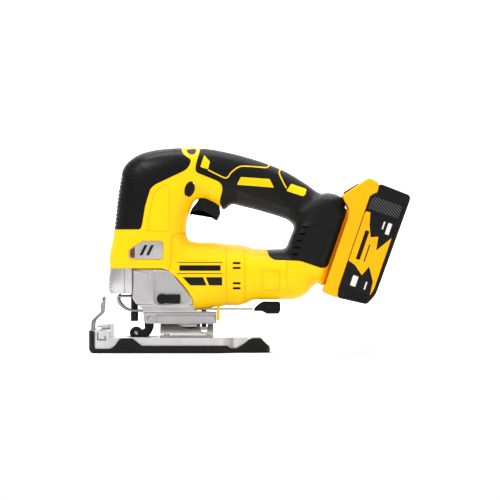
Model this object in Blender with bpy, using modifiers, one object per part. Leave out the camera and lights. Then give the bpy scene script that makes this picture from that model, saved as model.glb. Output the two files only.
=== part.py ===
"""Cordless top-handle jigsaw with its battery.

World frame: metres, +Z up, +X to the rear (battery end), +Y to the tool's right side.
The sole of the shoe lies on Z = 0. The constants and outlines below are in millimetres,
and every mesh is scaled to metres as it is made. Outlines are (x, z) unless they say so.
"""
import math

import bmesh
import bpy
from mathutils import Matrix
from mathutils import Vector

MM = 0.001
GAP = 0.3               # air between pieces that touch
RUNNING = 0.4           # air round a piece that slides or turns
REACH = 60.0            # half the length of a cutter that passes through the tool

# Housing: half widths of the tapering body, and its walls
COLUMN_HALF = 28.5      # front column over the plunger
BARREL_HALF = 31.0      # motor barrel
FOOT_HALF = 31.0        # battery foot
HANDLE_HALF = 18.5      # top handle, thinnest place
WALL = 4.0
SKIN = 1.6              # rubber overmould
SECTION_SIDES = 16

# Cast gear housing
GEAR_CASE_HALF = 26.0
STEP_HALF = 17.5
RAIL_HALF = 6.5
PARTING_Z = 83.3
NOSE_X = -116.3
RAIL_Z = 28.0

# Drive train
MOTOR_Z = 77.5
MODULE = 1.0
PINION_TEETH = 10
GEAR_TEETH = 40
GEAR_Z = MOTOR_Z + MODULE * (PINION_TEETH + GEAR_TEETH) / 2
GEAR_X = -86.0
GEAR_WIDTH = 8.0
CRANK = 13.0            # half the stroke
PIN_RADIUS = 3.0
STATOR_RADIUS = 23.6
ROTOR_RADIUS = 14.0
SHAFT_RADIUS = 2.5
PLUNGER_X = -115.0
PLUNGER_RADIUS = 3.6
CHANNEL_RADIUS = 5.6
PLUNGER_TOP = 156.5
BLADE_CLAMP_LOW = 30.4
BLADE_CLAMP_HIGH = 39.7

# Shoe, tilting about an X axis through (y 0, BEVEL_Z)
BEVEL_Z = 8.0
SHOE_HALF = 43.0
SHOE_FRONT = -159.0
SHOE_REAR = 20.5
SOLE = 3.0
DECK_Z = 14.9
COVER_WALL = 2.4
ARCH_RADIUS = 19.7
ARCH_WALL = 2.5
BLADE_SLOT_HALF = 8.0
ROLLER_SLOT_HALF = 16.2
BEVEL_BOLT_X = -45.5
BEVEL_BOLT_RADIUS = 2.5

# Small moving pieces
ROLLER = (-113.2, 18.6)
ROLLER_RADIUS = 6.5
ROLLER_HALF = 3.0
ROLLER_PIVOT = (-100.4, 34.5)
TONGUE_HALF = 2.5
PIVOT_PIN_RADIUS = 2.1
ORBIT_PIVOT = (-86.8, 53.0)
RECESS_DEPTH = 3.6
TRIGGER_HALF = 7.0
LOCK_CENTRE = (-59.5, 161.9)
LOCK_RADII = (4.5, 7.5)
LOCK_LEAN = math.radians(16)
LOCK_REACH = 21.5
DIAL_CENTRE = (-58.0, 195.2)
DIAL_RADIUS = 9.0
DIAL_HALF = 4.0
BOARD_CENTRE = (55.5, 0, 114)
GUARD_RADIUS = 1.35
GUARD_BOW_Z = 56.3

# Battery, laid out along its own slide axis: (across, along) in the tilted frame
TILT = math.radians(19)
PACK_FACE = 49.0
PACK_HALF = 37.5
PACK_WALL = 2.4
CHANNEL_FLOOR = 42.6
RAIL_BLOCK_HALF = 20.0
CELL_RADIUS = 9.2
CELL_LENGTH = 65.0
CELL_PITCH = 18.8
CELLS_ALONG = 5
CELL_FIRST = 98.0
SCREW_RADIUS = 3.4

# Sections of the D-shaped housing, each from the hand opening out to the outer edge:
# (inner x, inner z, outer x, outer z, half width, squareness)
SECTIONS = [
    (-63.0, 124.0, -134.3, 130.0, COLUMN_HALF, 2.6),
    (-63.2, 120.0, -136.8, 111.0, COLUMN_HALF, 2.6),
    (-62.6, 116.0, -139.8, 97.0, COLUMN_HALF, 2.8),
    (-61.5, 113.6, -140.0, 84.0, COLUMN_HALF, 3.0),
    (-60.0, 111.6, -140.0, 58.0, COLUMN_HALF - 0.5, 3.2),
    (-57.5, 110.4, -118.0, 40.0, COLUMN_HALF - 1.0, 3.4),
    (-52.0, 109.9, -90.0, 38.0, COLUMN_HALF - 0.5, 3.2),
    (-44.0, 109.7, -62.0, 40.0, BARREL_HALF - 1.5, 2.8),
    (-34.0, 109.2, -38.0, 43.5, BARREL_HALF - 0.5, 2.4),
    (-22.6, 107.8, -23.0, 46.0, BARREL_HALF, 2.2),
    (-11.7, 107.2, -11.0, 46.2, BARREL_HALF, 2.2),
    (-3.5, 105.7, -2.0, 48.8, BARREL_HALF, 2.2),
    (3.0, 103.6, 5.0, 51.6, BARREL_HALF, 2.2),
    (16.5, 102.4, 20.0, 51.9, BARREL_HALF, 2.2),
    (27.0, 102.5, 36.0, 51.9, BARREL_HALF, 2.2),
    (33.0, 102.8, 48.0, 53.0, BARREL_HALF - 0.5, 2.4),
    (36.0, 104.2, 57.0, 58.0, BARREL_HALF - 1.0, 2.6),
    (38.0, 107.5, 66.0, 67.2, FOOT_HALF - 1.0, 3.0),
    (39.3, 111.0, 74.6, 67.4, FOOT_HALF - 0.5, 4.0),
    (40.6, 114.0, 81.8, 88.2, FOOT_HALF, 4.5),
    (42.0, 117.5, 89.9, 111.8, FOOT_HALF, 4.5),
    (43.6, 121.5, 97.2, 133.2, FOOT_HALF, 4.0),
    (43.9, 124.8, 98.3, 141.5, FOOT_HALF - 1.0, 3.6),
    (42.8, 127.3, 91.0, 154.6, FOOT_HALF - 3.0, 3.2),
    (40.5, 129.6, 80.0, 158.6, FOOT_HALF - 5.0, 2.9),
    (37.0, 132.0, 69.5, 158.8, HANDLE_HALF + 4.5, 2.7),
    (31.5, 134.2, 56.0, 168.0, HANDLE_HALF + 2.0, 2.5),
    (20.0, 137.8, 36.0, 180.0, HANDLE_HALF, 2.3),
    (6.0, 141.8, 14.0, 189.0, HANDLE_HALF - 0.5, 2.3),
    (-8.0, 145.2, -9.0, 196.0, HANDLE_HALF - 0.5, 2.3),
    (-17.5, 147.0, -27.0, 200.2, HANDLE_HALF, 2.3),
    (-25.7, 142.0, -40.0, 202.4, HANDLE_HALF + 0.5, 2.3),
    (-34.0, 147.3, -52.0, 203.4, HANDLE_HALF + 1.5, 2.3),
    (-43.0, 151.8, -64.0, 203.7, HANDLE_HALF + 3.0, 2.3),
    (-50.0, 152.3, -78.0, 203.3, HANDLE_HALF + 4.5, 2.4),
    (-55.3, 149.0, -97.0, 201.0, COLUMN_HALF - 3.5, 2.4),
    (-58.0, 143.5, -113.0, 195.6, COLUMN_HALF - 2.0, 2.5),
    (-60.0, 138.0, -125.2, 184.6, COLUMN_HALF - 1.0, 2.5),
    (-61.5, 133.5, -129.0, 170.5, COLUMN_HALF - 0.5, 2.6),
    (-62.5, 129.0, -132.2, 150.0, COLUMN_HALF, 2.6),
]

# Line where the plastic body meets the casting, from the nose back and down to the lip
PARTING = [
    (-86.8, PARTING_Z), (-80.7, 81.5), (-71.0, 73.0), (-62.6, 63.3), (-56.5, 53.6),
    (-55.3, 43.0), (-52.1, 40.8), (-33.0, 40.1),
]
FRONT_GRIP = [
    (-150, 121.8), (-107.8, 121.8), (-106.0, 128.2), (-103.4, 144.6), (-98.3, 161.9), (-94.2, 166),
    (-70.7, 177.2), (-62.6, 181.3), (-59, 186.4), (-58, 191.5), (-61.5, 193.5), (-66.6, 197.6),
    (-69.7, 210), (-150, 210),
]
HANDLE_GRIP = [
    (-48.5, 210), (-49.3, 200.7), (-53.4, 186.4), (-53.9, 181.3), (-52.4, 178.2), (-31.9, 170.1),
    (-27.9, 167), (-26.8, 161.9), (-29.9, 149.7), (-25.2, 134), (17.5, 112), (17.5, 100.7),
    (19.4, 95), (24.2, 91.6), (50, 90.7), (71, 83.5), (75.8, 84), (78.7, 87.3), (97.3, 141.5),
    (125, 150), (110, 210),
]


def clear_scene():
    """Remove every object that the start-up scene holds."""
    for old in list(bpy.data.objects):
        bpy.data.objects.remove(old, do_unlink=True)


def new_collection(name):
    group = bpy.data.collections.new(name)
    bpy.context.scene.collection.children.link(group)
    return group


clear_scene()
PARTS = new_collection("jigsaw")
CUTTERS = new_collection("jigsaw_cutters")


def finish(name, colour, roughness, metallic=0.0):
    """Principled material of one colour."""
    material = bpy.data.materials.new(name)
    material.use_nodes = True
    shader = material.node_tree.nodes["Principled BSDF"]
    shader.inputs["Base Color"].default_value = (*colour, 1.0)
    shader.inputs["Roughness"].default_value = roughness
    shader.inputs["Metallic"].default_value = metallic
    return material


COLOURS = {
    "yellow": ((0.96, 0.58, 0.01), 0.38, 0.0),
    "rubber": ((0.012, 0.012, 0.013), 0.6, 0.0),
    "black": ((0.015, 0.015, 0.016), 0.4, 0.0),
    "cast": ((0.66, 0.65, 0.65), 0.42, 0.9),
    "steel": ((0.45, 0.45, 0.45), 0.35, 1.0),
    "chrome": ((0.75, 0.75, 0.76), 0.15, 1.0),
    "brass": ((0.72, 0.5, 0.2), 0.35, 1.0),
    "copper": ((0.7, 0.32, 0.15), 0.4, 1.0),
    "badge": ((0.5, 0.49, 0.47), 0.4, 0.6),
    "board": ((0.03, 0.16, 0.06), 0.5, 0.0),
    "cell": ((0.1, 0.3, 0.55), 0.4, 0.0),
    "lens": ((0.85, 0.88, 0.9), 0.1, 0.0),
}


def hidden(shape, name):
    """Object for a mesh that is still being worked on, in the cutters' collection."""
    piece = bpy.data.objects.new(name, shape)
    CUTTERS.objects.link(piece)
    piece.hide_render = True
    piece.display_type = "WIRE"
    return piece


def from_bmesh(shape, name):
    """Mesh object in metres from a bmesh in millimetres, faces pointing out."""
    bmesh.ops.scale(shape, vec=(MM, MM, MM), verts=shape.verts)
    bmesh.ops.recalc_face_normals(shape, faces=shape.faces)
    mesh = bpy.data.meshes.new(name)
    shape.to_mesh(mesh)
    shape.free()
    return hidden(mesh, name)


def box(low, high, name="box"):
    """Box between two opposite corners."""
    low, high = Vector(low), Vector(high)
    size = high - low
    placement = Matrix.Translation((low + high) / 2) @ Matrix.Diagonal((*size, 1.0))
    shape = bmesh.new()
    bmesh.ops.create_cube(shape, size=1.0, matrix=placement)
    return from_bmesh(shape, name)


def rod(start, end, radius, sides=24, end_radius=None, name="rod"):
    """Cylinder or cone between two points."""
    start, end = Vector(start), Vector(end)
    along = end - start
    turn = along.to_track_quat("Z", "Y").to_matrix().to_4x4()
    placement = Matrix.Translation((start + end) / 2) @ turn
    shape = bmesh.new()
    bmesh.ops.create_cone(
        shape, cap_ends=True, segments=sides, radius1=radius,
        radius2=radius if end_radius is None else end_radius, depth=along.length, matrix=placement)
    return from_bmesh(shape, name)


def bake(piece):
    """Replace an object's mesh by what its modifiers make of it."""
    graph = bpy.context.evaluated_depsgraph_get()
    shape = bpy.data.meshes.new_from_object(piece.evaluated_get(graph))
    piece.modifiers.clear()
    piece.data = shape
    return piece


def combine(piece, tools, operation):
    """Boolean of a piece with one or more others; the tools stay as hidden cutters."""
    for tool in tools:
        step = piece.modifiers.new(operation.lower(), "BOOLEAN")
        step.operation = operation
        step.solver = "EXACT"
        step.object = tool
        bake(piece)
    return piece


def cut(piece, *tools):
    return combine(piece, tools, "DIFFERENCE")


def join(piece, *tools):
    return combine(piece, tools, "UNION")


def keep_inside(piece, *tools):
    return combine(piece, tools, "INTERSECT")


def copy_of(piece):
    return hidden(piece.data.copy(), piece.name)


def curve_to_mesh(guide):
    """Closed mesh of a curve object, with its caps welded."""
    bpy.context.view_layer.update()
    graph = bpy.context.evaluated_depsgraph_get()
    mesh = bpy.data.meshes.new_from_object(guide.evaluated_get(graph))
    mesh.transform(guide.matrix_world)
    shape = bmesh.new()
    shape.from_mesh(mesh)
    bmesh.ops.remove_doubles(shape, verts=shape.verts, dist=0.000001)
    bmesh.ops.recalc_face_normals(shape, faces=shape.faces)
    shape.to_mesh(mesh)
    shape.free()
    bpy.data.objects.remove(guide, do_unlink=True)
    return hidden(mesh, "outline")


LAYING = {
    "Y": Matrix(((1, 0, 0, 0), (0, 0, -1, 0), (0, 1, 0, 0), (0, 0, 0, 1))),
    "Z": Matrix.Identity(4),
    "X": Matrix(((0, 0, 1, 0), (1, 0, 0, 0), (0, 1, 0, 0), (0, 0, 0, 1))),
}


def plate(outline, low, high, axis="Y"):
    """Flat outline given a thickness along an axis: (x, z) along Y, (x, y) along Z, (y, z) along X."""
    curve = bpy.data.curves.new("outline", "CURVE")
    curve.dimensions = "2D"
    curve.fill_mode = "BOTH"
    curve.extrude = (high - low) / 2 * MM
    spline = curve.splines.new("POLY")
    spline.points.add(len(outline) - 1)
    for point, (a, b) in zip(spline.points, outline):
        point.co = (a * MM, b * MM, 0.0, 1.0)
    spline.use_cyclic_u = True
    guide = bpy.data.objects.new("outline", curve)
    CUTTERS.objects.link(guide)
    middle = (high + low) / 2 * MM
    shift = {"X": (middle, 0, 0), "Y": (0, middle, 0), "Z": (0, 0, middle)}[axis]
    guide.matrix_world = Matrix.Translation(shift) @ LAYING[axis]
    return curve_to_mesh(guide)


def across(outline):
    """Outline given enough thickness to pass through the whole tool."""
    return plate(outline, -REACH, REACH)


def wire(points, radius):
    """Round wire through a list of points, with filled caps."""
    curve = bpy.data.curves.new("wire", "CURVE")
    curve.dimensions = "3D"
    curve.bevel_depth = radius * MM
    curve.bevel_resolution = 2
    curve.use_fill_caps = True
    spline = curve.splines.new("POLY")
    spline.points.add(len(points) - 1)
    for point, place in zip(spline.points, points):
        point.co = (*(Vector(place) * MM), 1.0)
    guide = bpy.data.objects.new("wire", curve)
    CUTTERS.objects.link(guide)
    return curve_to_mesh(guide)


def round_edges(piece, width, segments=2):
    step = piece.modifiers.new("round", "BEVEL")
    step.width = width * MM
    step.segments = segments
    step.limit_method = "ANGLE"
    step.angle_limit = math.radians(40)
    return bake(piece)


def tilted(piece):
    """Turn a piece laid out as (across, y, along) into the battery's sloping frame."""
    piece.data.transform(Matrix.Rotation(TILT, 4, "Y"))
    return piece


def keep(piece, name, colour, origin=(0, 0, 0)):
    """Move a finished piece to the object's collection, with its origin where it turns."""
    CUTTERS.objects.unlink(piece)
    PARTS.objects.link(piece)
    piece.name = name
    piece.hide_render = False
    piece.display_type = "TEXTURED"
    at = Vector(origin) * MM
    piece.data.transform(Matrix.Translation(-at))
    piece.location = at
    piece.data.materials.clear()
    piece.data.materials.append(finish(name, *COLOURS[colour]))
    piece.data.shade_smooth()
    piece.data.set_sharp_from_angle(angle=math.radians(30))
    return piece


def curved_power(value, power):
    """Power of a signed number that keeps its sign."""
    return math.copysign(abs(value) ** power, value)


def body_loft(inset):
    """Ring of superelliptic sections round the hand opening, its skin moved inwards by inset."""
    shape = bmesh.new()
    rings = []
    for inner_x, inner_z, outer_x, outer_z, half_width, squareness in SECTIONS:
        middle = Vector(((inner_x + outer_x) / 2, (inner_z + outer_z) / 2))
        reach = Vector((outer_x - inner_x, outer_z - inner_z)) / 2
        along = reach.normalized()
        length = reach.length - inset
        width = half_width - inset
        ring = []
        for index in range(SECTION_SIDES):
            angle = 2 * math.pi * index / SECTION_SIDES
            out = length * curved_power(math.cos(angle), 2 / squareness)
            side = width * curved_power(math.sin(angle), 2 / squareness)
            point = middle + along * out
            ring.append(shape.verts.new((point.x, side, point.y)))
        rings.append(ring)
    for here, after in zip(rings, rings[1:] + rings[:1]):
        for index in range(SECTION_SIDES):
            beside = (index + 1) % SECTION_SIDES
            shape.faces.new((here[index], here[beside], after[beside], after[index]))
    bmesh.ops.triangulate(shape, faces=shape.faces)
    return from_bmesh(shape, "body")


def half_space(side):
    """Big box that holds one half of the tool, split on the middle plane."""
    near, far = sorted((side * GAP / 2, side * 80))
    return box((-200, near, -40), (220, far, 260))


def split(whole, title, colour):
    """Keep the left and the right half of a piece as two nodes."""
    for side, word in ((-1, "left"), (1, "right")):
        keep(keep_inside(copy_of(whole), half_space(side)), title + word, colour)


def gear_zone(clearance):
    """Everything below the parting line at the front, grown upwards by a clearance."""
    line = [(x, z + clearance) for x, z in PARTING[:-1]]
    tail_x, tail_z = PARTING[-1]
    return [(-160, PARTING_Z + clearance)] + line + [(tail_x + clearance, tail_z + clearance),
            (tail_x + clearance, 10), (-160, 10)]


def ellipse(centre, radii, lean, steps=24, grow=0.0):
    points = []
    for index in range(steps):
        angle = 2 * math.pi * index / steps
        a = (radii[0] + grow) * math.cos(angle)
        b = (radii[1] + grow) * math.sin(angle)
        x = centre[0] + a * math.cos(lean) + b * math.sin(lean)
        z = centre[1] - a * math.sin(lean) + b * math.cos(lean)
        points.append((x, z))
    return points


# Slot that the bevel lever swings in, and the lip of the left half behind the casting
LEVER_SLOT = ((-56, -8, 40.2), (-28, 40, 45.2))
LIP_LOW = (-32.6, -12, 31)
LIP_HIGH = (-29.6, -1, 50)

# Screws that join the halves: (x, z), and how far from the middle plane its head sits
SCREWS = [(-127.5, 97, 15.5), (-125.5, 150, 13.5), (-73, 168, 18.5), (7, 168, 12.5), (70, 147, 17.0),
          (37, 61.5, 16.0)]
BOSS_RADIUS = 4.4
SHANK_RADIUS = 1.7
SHANK_END = -9.0        # the shanks stop in blind bores, so the left side shows none

# Vent slots on both sides: middle of each (x, z), length and height
BARREL_VENTS = [(-12.7, 88.5), (-12.7, 83.7), (-12.7, 68.6), (-12.7, 63.6)]
BARREL_VENT_SIZE = (7.7, 2.2)
FOOT_VENTS = [(55.0, 124.0), (52.5, 117.3), (50.0, 110.5), (47.5, 103.8), (45.0, 97.0)]
FOOT_VENT_SIZE = (6.0, 1.8)


def vents(places, size):
    """Cutters that go through both sides of the housing."""
    half_x, half_z = size[0] / 2, size[1] / 2
    return [box((x - half_x, -REACH, z - half_z), (x + half_x, REACH, z + half_z)) for x, z in places]


def housing_pieces():
    """Two clamshell halves and the rubber skins that cover parts of them."""
    cavity = body_loft(WALL)
    for x, z, head_y in SCREWS:
        cut(cavity, rod((x, -REACH, z), (x, REACH, z), BOSS_RADIUS, sides=12))
    front_recess = cut(across(FRONT_GRIP), body_loft(SKIN + GAP))
    handle_recess = cut(across(HANDLE_GRIP), body_loft(SKIN + GAP))
    lower_zone = across(gear_zone(0.0))
    channel = tilted(box((CHANNEL_FLOOR, -RAIL_BLOCK_HALF - RUNNING, 91.4),
                         (60, RAIL_BLOCK_HALF + RUNNING, 190)))
    rail_seat = tilted(box((CHANNEL_FLOOR - 4.3 - GAP, -RAIL_BLOCK_HALF - GAP, 95 - GAP),
                           (CHANNEL_FLOOR + 1, RAIL_BLOCK_HALF + GAP, 164 + GAP)))
    trigger_slot = box((-61.2, -TRIGGER_HALF - RUNNING, 126), (-28.0, TRIGGER_HALF + RUNNING, 165.5))
    lock_bore = across(ellipse(LOCK_CENTRE, LOCK_RADII, LOCK_LEAN, grow=RUNNING))
    dial_slot = box((DIAL_CENTRE[0] - DIAL_RADIUS - RUNNING, -DIAL_HALF - RUNNING, DIAL_CENTRE[1] - 12),
                    (DIAL_CENTRE[0] + DIAL_RADIUS + RUNNING, DIAL_HALF + RUNNING, 215))
    lever_slot = box(*LEVER_SLOT)
    lamp_bore = box((-137, -6.5, 80), (-124, 6.5, 90))
    openings = [channel, rail_seat, trigger_slot, lock_bore, dial_slot, lever_slot, lamp_bore]
    shanks = [rod((x, SHANK_END - 1, z), (x, REACH, z), SHANK_RADIUS + GAP, sides=10) for x, z, head_y in SCREWS]
    heads = [rod((x, head_y, z), (x, REACH, z), SCREW_RADIUS + GAP, sides=14) for x, z, head_y in SCREWS]
    foot_vents = vents(FOOT_VENTS, FOOT_VENT_SIZE)
    barrel_vents = vents(BARREL_VENTS, BARREL_VENT_SIZE)
    shell = cut(body_loft(0.0), cavity, lower_zone, front_recess, handle_recess, *openings, *shanks,
                *heads, *barrel_vents, *foot_vents)
    lip = cut(box(LIP_LOW, LIP_HIGH), box(*LEVER_SLOT))
    join(shell, lip)
    split(shell, "housing_", "yellow")
    for outline, title in ((FRONT_GRIP, "front_grip_"), (HANDLE_GRIP, "handle_grip_")):
        skin = keep_inside(body_loft(0.0), across(outline))
        cut(skin, body_loft(SKIN), *openings[:5], *heads, *foot_vents)
        split(skin, title, "rubber")
    for number, (x, z, seat_y) in enumerate(SCREWS, 1):
        head_y = seat_y + GAP
        screw = rod((x, head_y, z), (x, head_y + 2.4, z), SCREW_RADIUS, sides=14)
        join(screw, rod((x, SHANK_END, z), (x, head_y + 0.5, z), SHANK_RADIUS, sides=10))
        keep(screw, f"housing_screw_{number}", "steel")
    keep(round_edges(box((-136.4, -6, 83.6), (-124.6, 6, 87.5)), 0.8, 1), "led_lens", "lens")


def gear_case():
    """Cast housing of the gearing, stepped below so that the tilted shoe clears it."""
    outline = [
        (NOSE_X, PARTING_Z - GAP), (NOSE_X, 54.2), (-113.2, 48.8), (-106.2, 42.6), (-105.8, 31.2),
        (-103.2, RAIL_Z), (PARTING[-1][0], RAIL_Z)]
    outline += [(x, z - GAP) for x, z in reversed(PARTING)]
    section = [
        (-GEAR_CASE_HALF, 95), (-GEAR_CASE_HALF, 47.5), (-STEP_HALF, 47.5), (-STEP_HALF, 39),
        (-RAIL_HALF, 39), (-RAIL_HALF, 20), (RAIL_HALF, 20), (RAIL_HALF, 39), (STEP_HALF, 39),
        (STEP_HALF, 47.5), (GEAR_CASE_HALF, 47.5), (GEAR_CASE_HALF, 95)]
    case = keep_inside(plate(outline, -40, 40), plate(section, -150, 20, "X"))
    pivot_x, pivot_z = ROLLER_PIVOT
    orbit_x, orbit_z = ORBIT_PIVOT
    recess = [
        (-95.3, 79.7), (-86.8, 80.3), (-79.5, 79.1), (-67.4, 63.3), (-60.1, 51.2), (-60.1, 48.9),
        (-89.2, 47.0), (-94.7, 49)]
    cut(case,
        box((-111.5, -21.5, 57.5), (-58, 21.5, 95)),
        rod((PLUNGER_X, 0, 20), (PLUNGER_X, 0, 100), CHANNEL_RADIUS),
        plate(recess, -30, -GEAR_CASE_HALF + RECESS_DEPTH),
        rod((orbit_x, -30, orbit_z), (orbit_x, -12, orbit_z), 3.0 + RUNNING, sides=16),
        box((-108, -TONGUE_HALF - RUNNING, 20), (-93.3, TONGUE_HALF + RUNNING, 41.5)),
        rod((pivot_x, -8, pivot_z), (pivot_x, 8, pivot_z), PIVOT_PIN_RADIUS + GAP, sides=16),
        rod((BEVEL_BOLT_X, 0, 20), (BEVEL_BOLT_X, 0, 60), BEVEL_BOLT_RADIUS + GAP, sides=16))
    keep(case, "gear_housing", "cast")


def nose_lever():
    """Blade release lever: a band of the body's own surface that wraps the nose."""
    band = keep_inside(body_loft(0.0), box((-150, -40, 58.0), (NOSE_X - GAP, 40, PARTING_Z - GAP)))
    cut(band, body_loft(2.6))
    keep(band, "blade_release_lever", "cast", (NOSE_X - GAP, -COLUMN_HALF, 70))


def badges():
    """Plain trim plate with a window, one on each side of the column."""
    outline = [(-105.6, 110), (-86.8, 110), (-85.8, 108.2), (-86.2, 93.6), (-88, 92.4), (-117.7, 92.8),
               (-119.2, 94.8), (-119.2, 100.3), (-117.7, 102.7)]
    shape = keep_inside(body_loft(-1.0), across(outline))
    split(cut(shape, body_loft(-GAP)), "badge_", "badge")


def plunger_pieces():
    top = (PLUNGER_X, 0, PLUNGER_TOP)
    foot = (PLUNGER_X, 0, BLADE_CLAMP_HIGH + GAP)
    keep(rod(foot, top, PLUNGER_RADIUS), "plunger", "steel")
    clamp = rod((PLUNGER_X, 0, BLADE_CLAMP_LOW), (PLUNGER_X, 0, BLADE_CLAMP_HIGH), PLUNGER_RADIUS + 0.3)
    cut(clamp, box((-121, -0.8, 20), (-109, 0.8, BLADE_CLAMP_HIGH - 3)))
    keep(clamp, "blade_clamp", "black")
    middle = GEAR_Z - CRANK
    hub = box((PLUNGER_X - 6.5, -6.5, middle - 5.8), (-111, 6.5, middle + 5.8))
    yoke = box((-112, -17, middle - 5.8), (-103.5, 17, middle + 5.8))
    join(yoke, hub)
    cut(yoke, rod((PLUNGER_X, 0, 60), (PLUNGER_X, 0, 120), PLUNGER_RADIUS + GAP))
    cut(yoke, box((-110, -15, middle - PIN_RADIUS - RUNNING), (-95, 15, middle + PIN_RADIUS + RUNNING)))
    keep(yoke, "crank_yoke", "steel")
    for name, low, high, outer in (("lower_bush", 68, 80, CHANNEL_RADIUS - GAP),
                                   ("upper_bush", 138, 148, CHANNEL_RADIUS)):
        bush = rod((PLUNGER_X, 0, low), (PLUNGER_X, 0, high), outer)
        cut(bush, rod((PLUNGER_X, 0, low - 5), (PLUNGER_X, 0, high + 5), PLUNGER_RADIUS + GAP))
        keep(bush, name, "brass")


def gear_outline(teeth, centre_z):
    """Teeth with straight flanks at 25 degrees, thinned for running play; (y, z) points."""
    pitch = MODULE * teeth / 2
    tip = pitch + 0.8 * MODULE
    root = pitch - 1.1 * MODULE
    half = 0.38 * math.pi / teeth
    lean = math.tan(math.radians(25)) / pitch
    points = []
    for tooth in range(teeth):
        centre = 2 * math.pi * tooth / teeth
        for radius, angle in ((root, -half - (pitch - root) * lean), (tip, -half + (tip - pitch) * lean),
                              (tip, half - (tip - pitch) * lean), (root, half + (pitch - root) * lean)):
            turn = centre + angle
            points.append((radius * math.cos(turn), centre_z + radius * math.sin(turn)))
    return points


def ring(x_low, x_high, inner, outer, z, sides=28):
    shape = rod((x_low, 0, z), (x_high, 0, z), outer, sides=sides)
    return cut(shape, rod((x_low - 5, 0, z), (x_high + 5, 0, z), inner, sides=sides))


def drive_pieces():
    low, high = GEAR_X - GEAR_WIDTH / 2, GEAR_X + GEAR_WIDTH / 2
    gear = plate(gear_outline(GEAR_TEETH, GEAR_Z), low, high, "X")
    join(gear, rod((high - 1, 0, GEAR_Z), (high + 14, 0, GEAR_Z), 4.0),
         rod((low - 9, 0, GEAR_Z - CRANK), (low + 1, 0, GEAR_Z - CRANK), PIN_RADIUS))
    keep(gear, "drive_gear", "steel", (GEAR_X, 0, GEAR_Z))
    keep(ring(high + 4, high + 11, 4.0 + GAP, 10.5, GEAR_Z), "gear_bearing", "chrome")
    pinion = plate(gear_outline(PINION_TEETH, MOTOR_Z), low - 0.5, high + 0.5, "X")
    cut(pinion, rod((-120, 0, MOTOR_Z), (0, 0, MOTOR_Z), SHAFT_RADIUS + 0.1, sides=16))
    keep(pinion, "pinion", "steel", (GEAR_X, 0, MOTOR_Z))
    rotor = rod((-54, 0, MOTOR_Z), (-6, 0, MOTOR_Z), ROTOR_RADIUS)
    join(rotor, rod((low - 1, 0, MOTOR_Z), (24, 0, MOTOR_Z), SHAFT_RADIUS - 0.2, sides=16))
    keep(rotor, "motor_rotor", "steel", (0, 0, MOTOR_Z))
    keep(ring(-53, -4, ROTOR_RADIUS + 0.6, STATOR_RADIUS, MOTOR_Z), "motor_stator", "copper")
    fan = ring(0, 1.6, SHAFT_RADIUS + 0.1, 20, MOTOR_Z)
    for index in range(9):
        blade = box((1.0, 7, -0.6), (8, 19.5, 0.6))
        turn = Matrix.Rotation(2 * math.pi * index / 9, 4, "X")
        blade.data.transform(Matrix.Translation((0, 0, MOTOR_Z * MM)) @ turn)
        join(fan, blade)
    keep(fan, "cooling_fan", "black", (0, 0, MOTOR_Z))
    keep(ring(-76, -69, SHAFT_RADIUS + 0.2, 8, MOTOR_Z), "front_motor_bearing", "chrome")
    keep(ring(14, 20, SHAFT_RADIUS + 0.2, 8, MOTOR_Z), "rear_motor_bearing", "chrome")


def control_pieces():
    """Switch, trigger, lock-off button, speed dial and electronics."""
    keep(box((-47, -9, 168), (-10, 9, 184)), "switch_body", "black")
    outline = [(-60.4, 136.1), (-56.5, 137.5), (-51.3, 139), (-46.2, 138.5), (-39.1, 134.4),
               (-32.5, 130.3), (-28.9, 137.5), (-29.6, 143), (-31, 158), (-49.5, 158), (-51.5, 150.5),
               (-57.5, 143)]
    trigger = round_edges(plate(outline, -TRIGGER_HALF, TRIGGER_HALF), 1.2, 1)
    keep(trigger, "trigger", "black")
    button = plate(ellipse(LOCK_CENTRE, LOCK_RADII, LOCK_LEAN), -LOCK_REACH - 1.5, LOCK_REACH - 2.0)
    keep(button, "lock_off_button", "black")
    x, z = DIAL_CENTRE
    dial = rod((x, -DIAL_HALF, z), (x, DIAL_HALF, z), DIAL_RADIUS, sides=28)
    keep(dial, "speed_dial", "black", (x, 0, z))
    board = box((-5, -17, -18), (5, 17, 18))
    board.data.transform(Matrix.Translation(Vector(BOARD_CENTRE) * MM) @ Matrix.Rotation(TILT, 4, "Y"))
    keep(board, "motor_controller", "board")
    rail = box((CHANNEL_FLOOR - 4.3, -19.5, 95), (CHANNEL_FLOOR - GAP, 19.5, 164))
    for y in (-9, 0, 9):
        join(rail, box((CHANNEL_FLOOR - 2, y - 0.4, 110), (CHANNEL_FLOOR + 4.5, y + 0.4, 122)))
    keep(tilted(rail), "battery_rail", "black")


def shoe_outline(inset=0.0):
    """Shoe seen from above; it narrows behind so that it passes the bevel lever when tilted."""
    side = [
        (SHOE_REAR - inset, 19 - inset / 2), (SHOE_REAR - 3 - inset * 0.7, 25 - inset * 0.7),
        (12, 27.5 - inset), (-8 - inset / 3, 27.5 - inset), (-14 - inset / 2, 29.5 - inset),
        (-25 - inset / 2, SHOE_HALF - 1.5 - inset), (-31, SHOE_HALF - inset), (-152, SHOE_HALF - inset),
        (-157 + inset * 0.7, SHOE_HALF - 2.5 - inset * 0.7), (SHOE_FRONT + inset, SHOE_HALF - 7 - inset / 2)]
    return side + [(x, -y) for x, y in reversed(side)]


def shoe_slot(extra=0.0):
    """Blade slot, open at the front and wider round the guide roller; (x, y) points."""
    narrow, wide = BLADE_SLOT_HALF + extra, ROLLER_SLOT_HALF + extra
    half = [(-170, narrow), (-124 - extra, narrow), (-120 - extra, wide), (-91 + extra, wide)]
    return half + [(x, -y) for x, y in reversed(half)]


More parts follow.
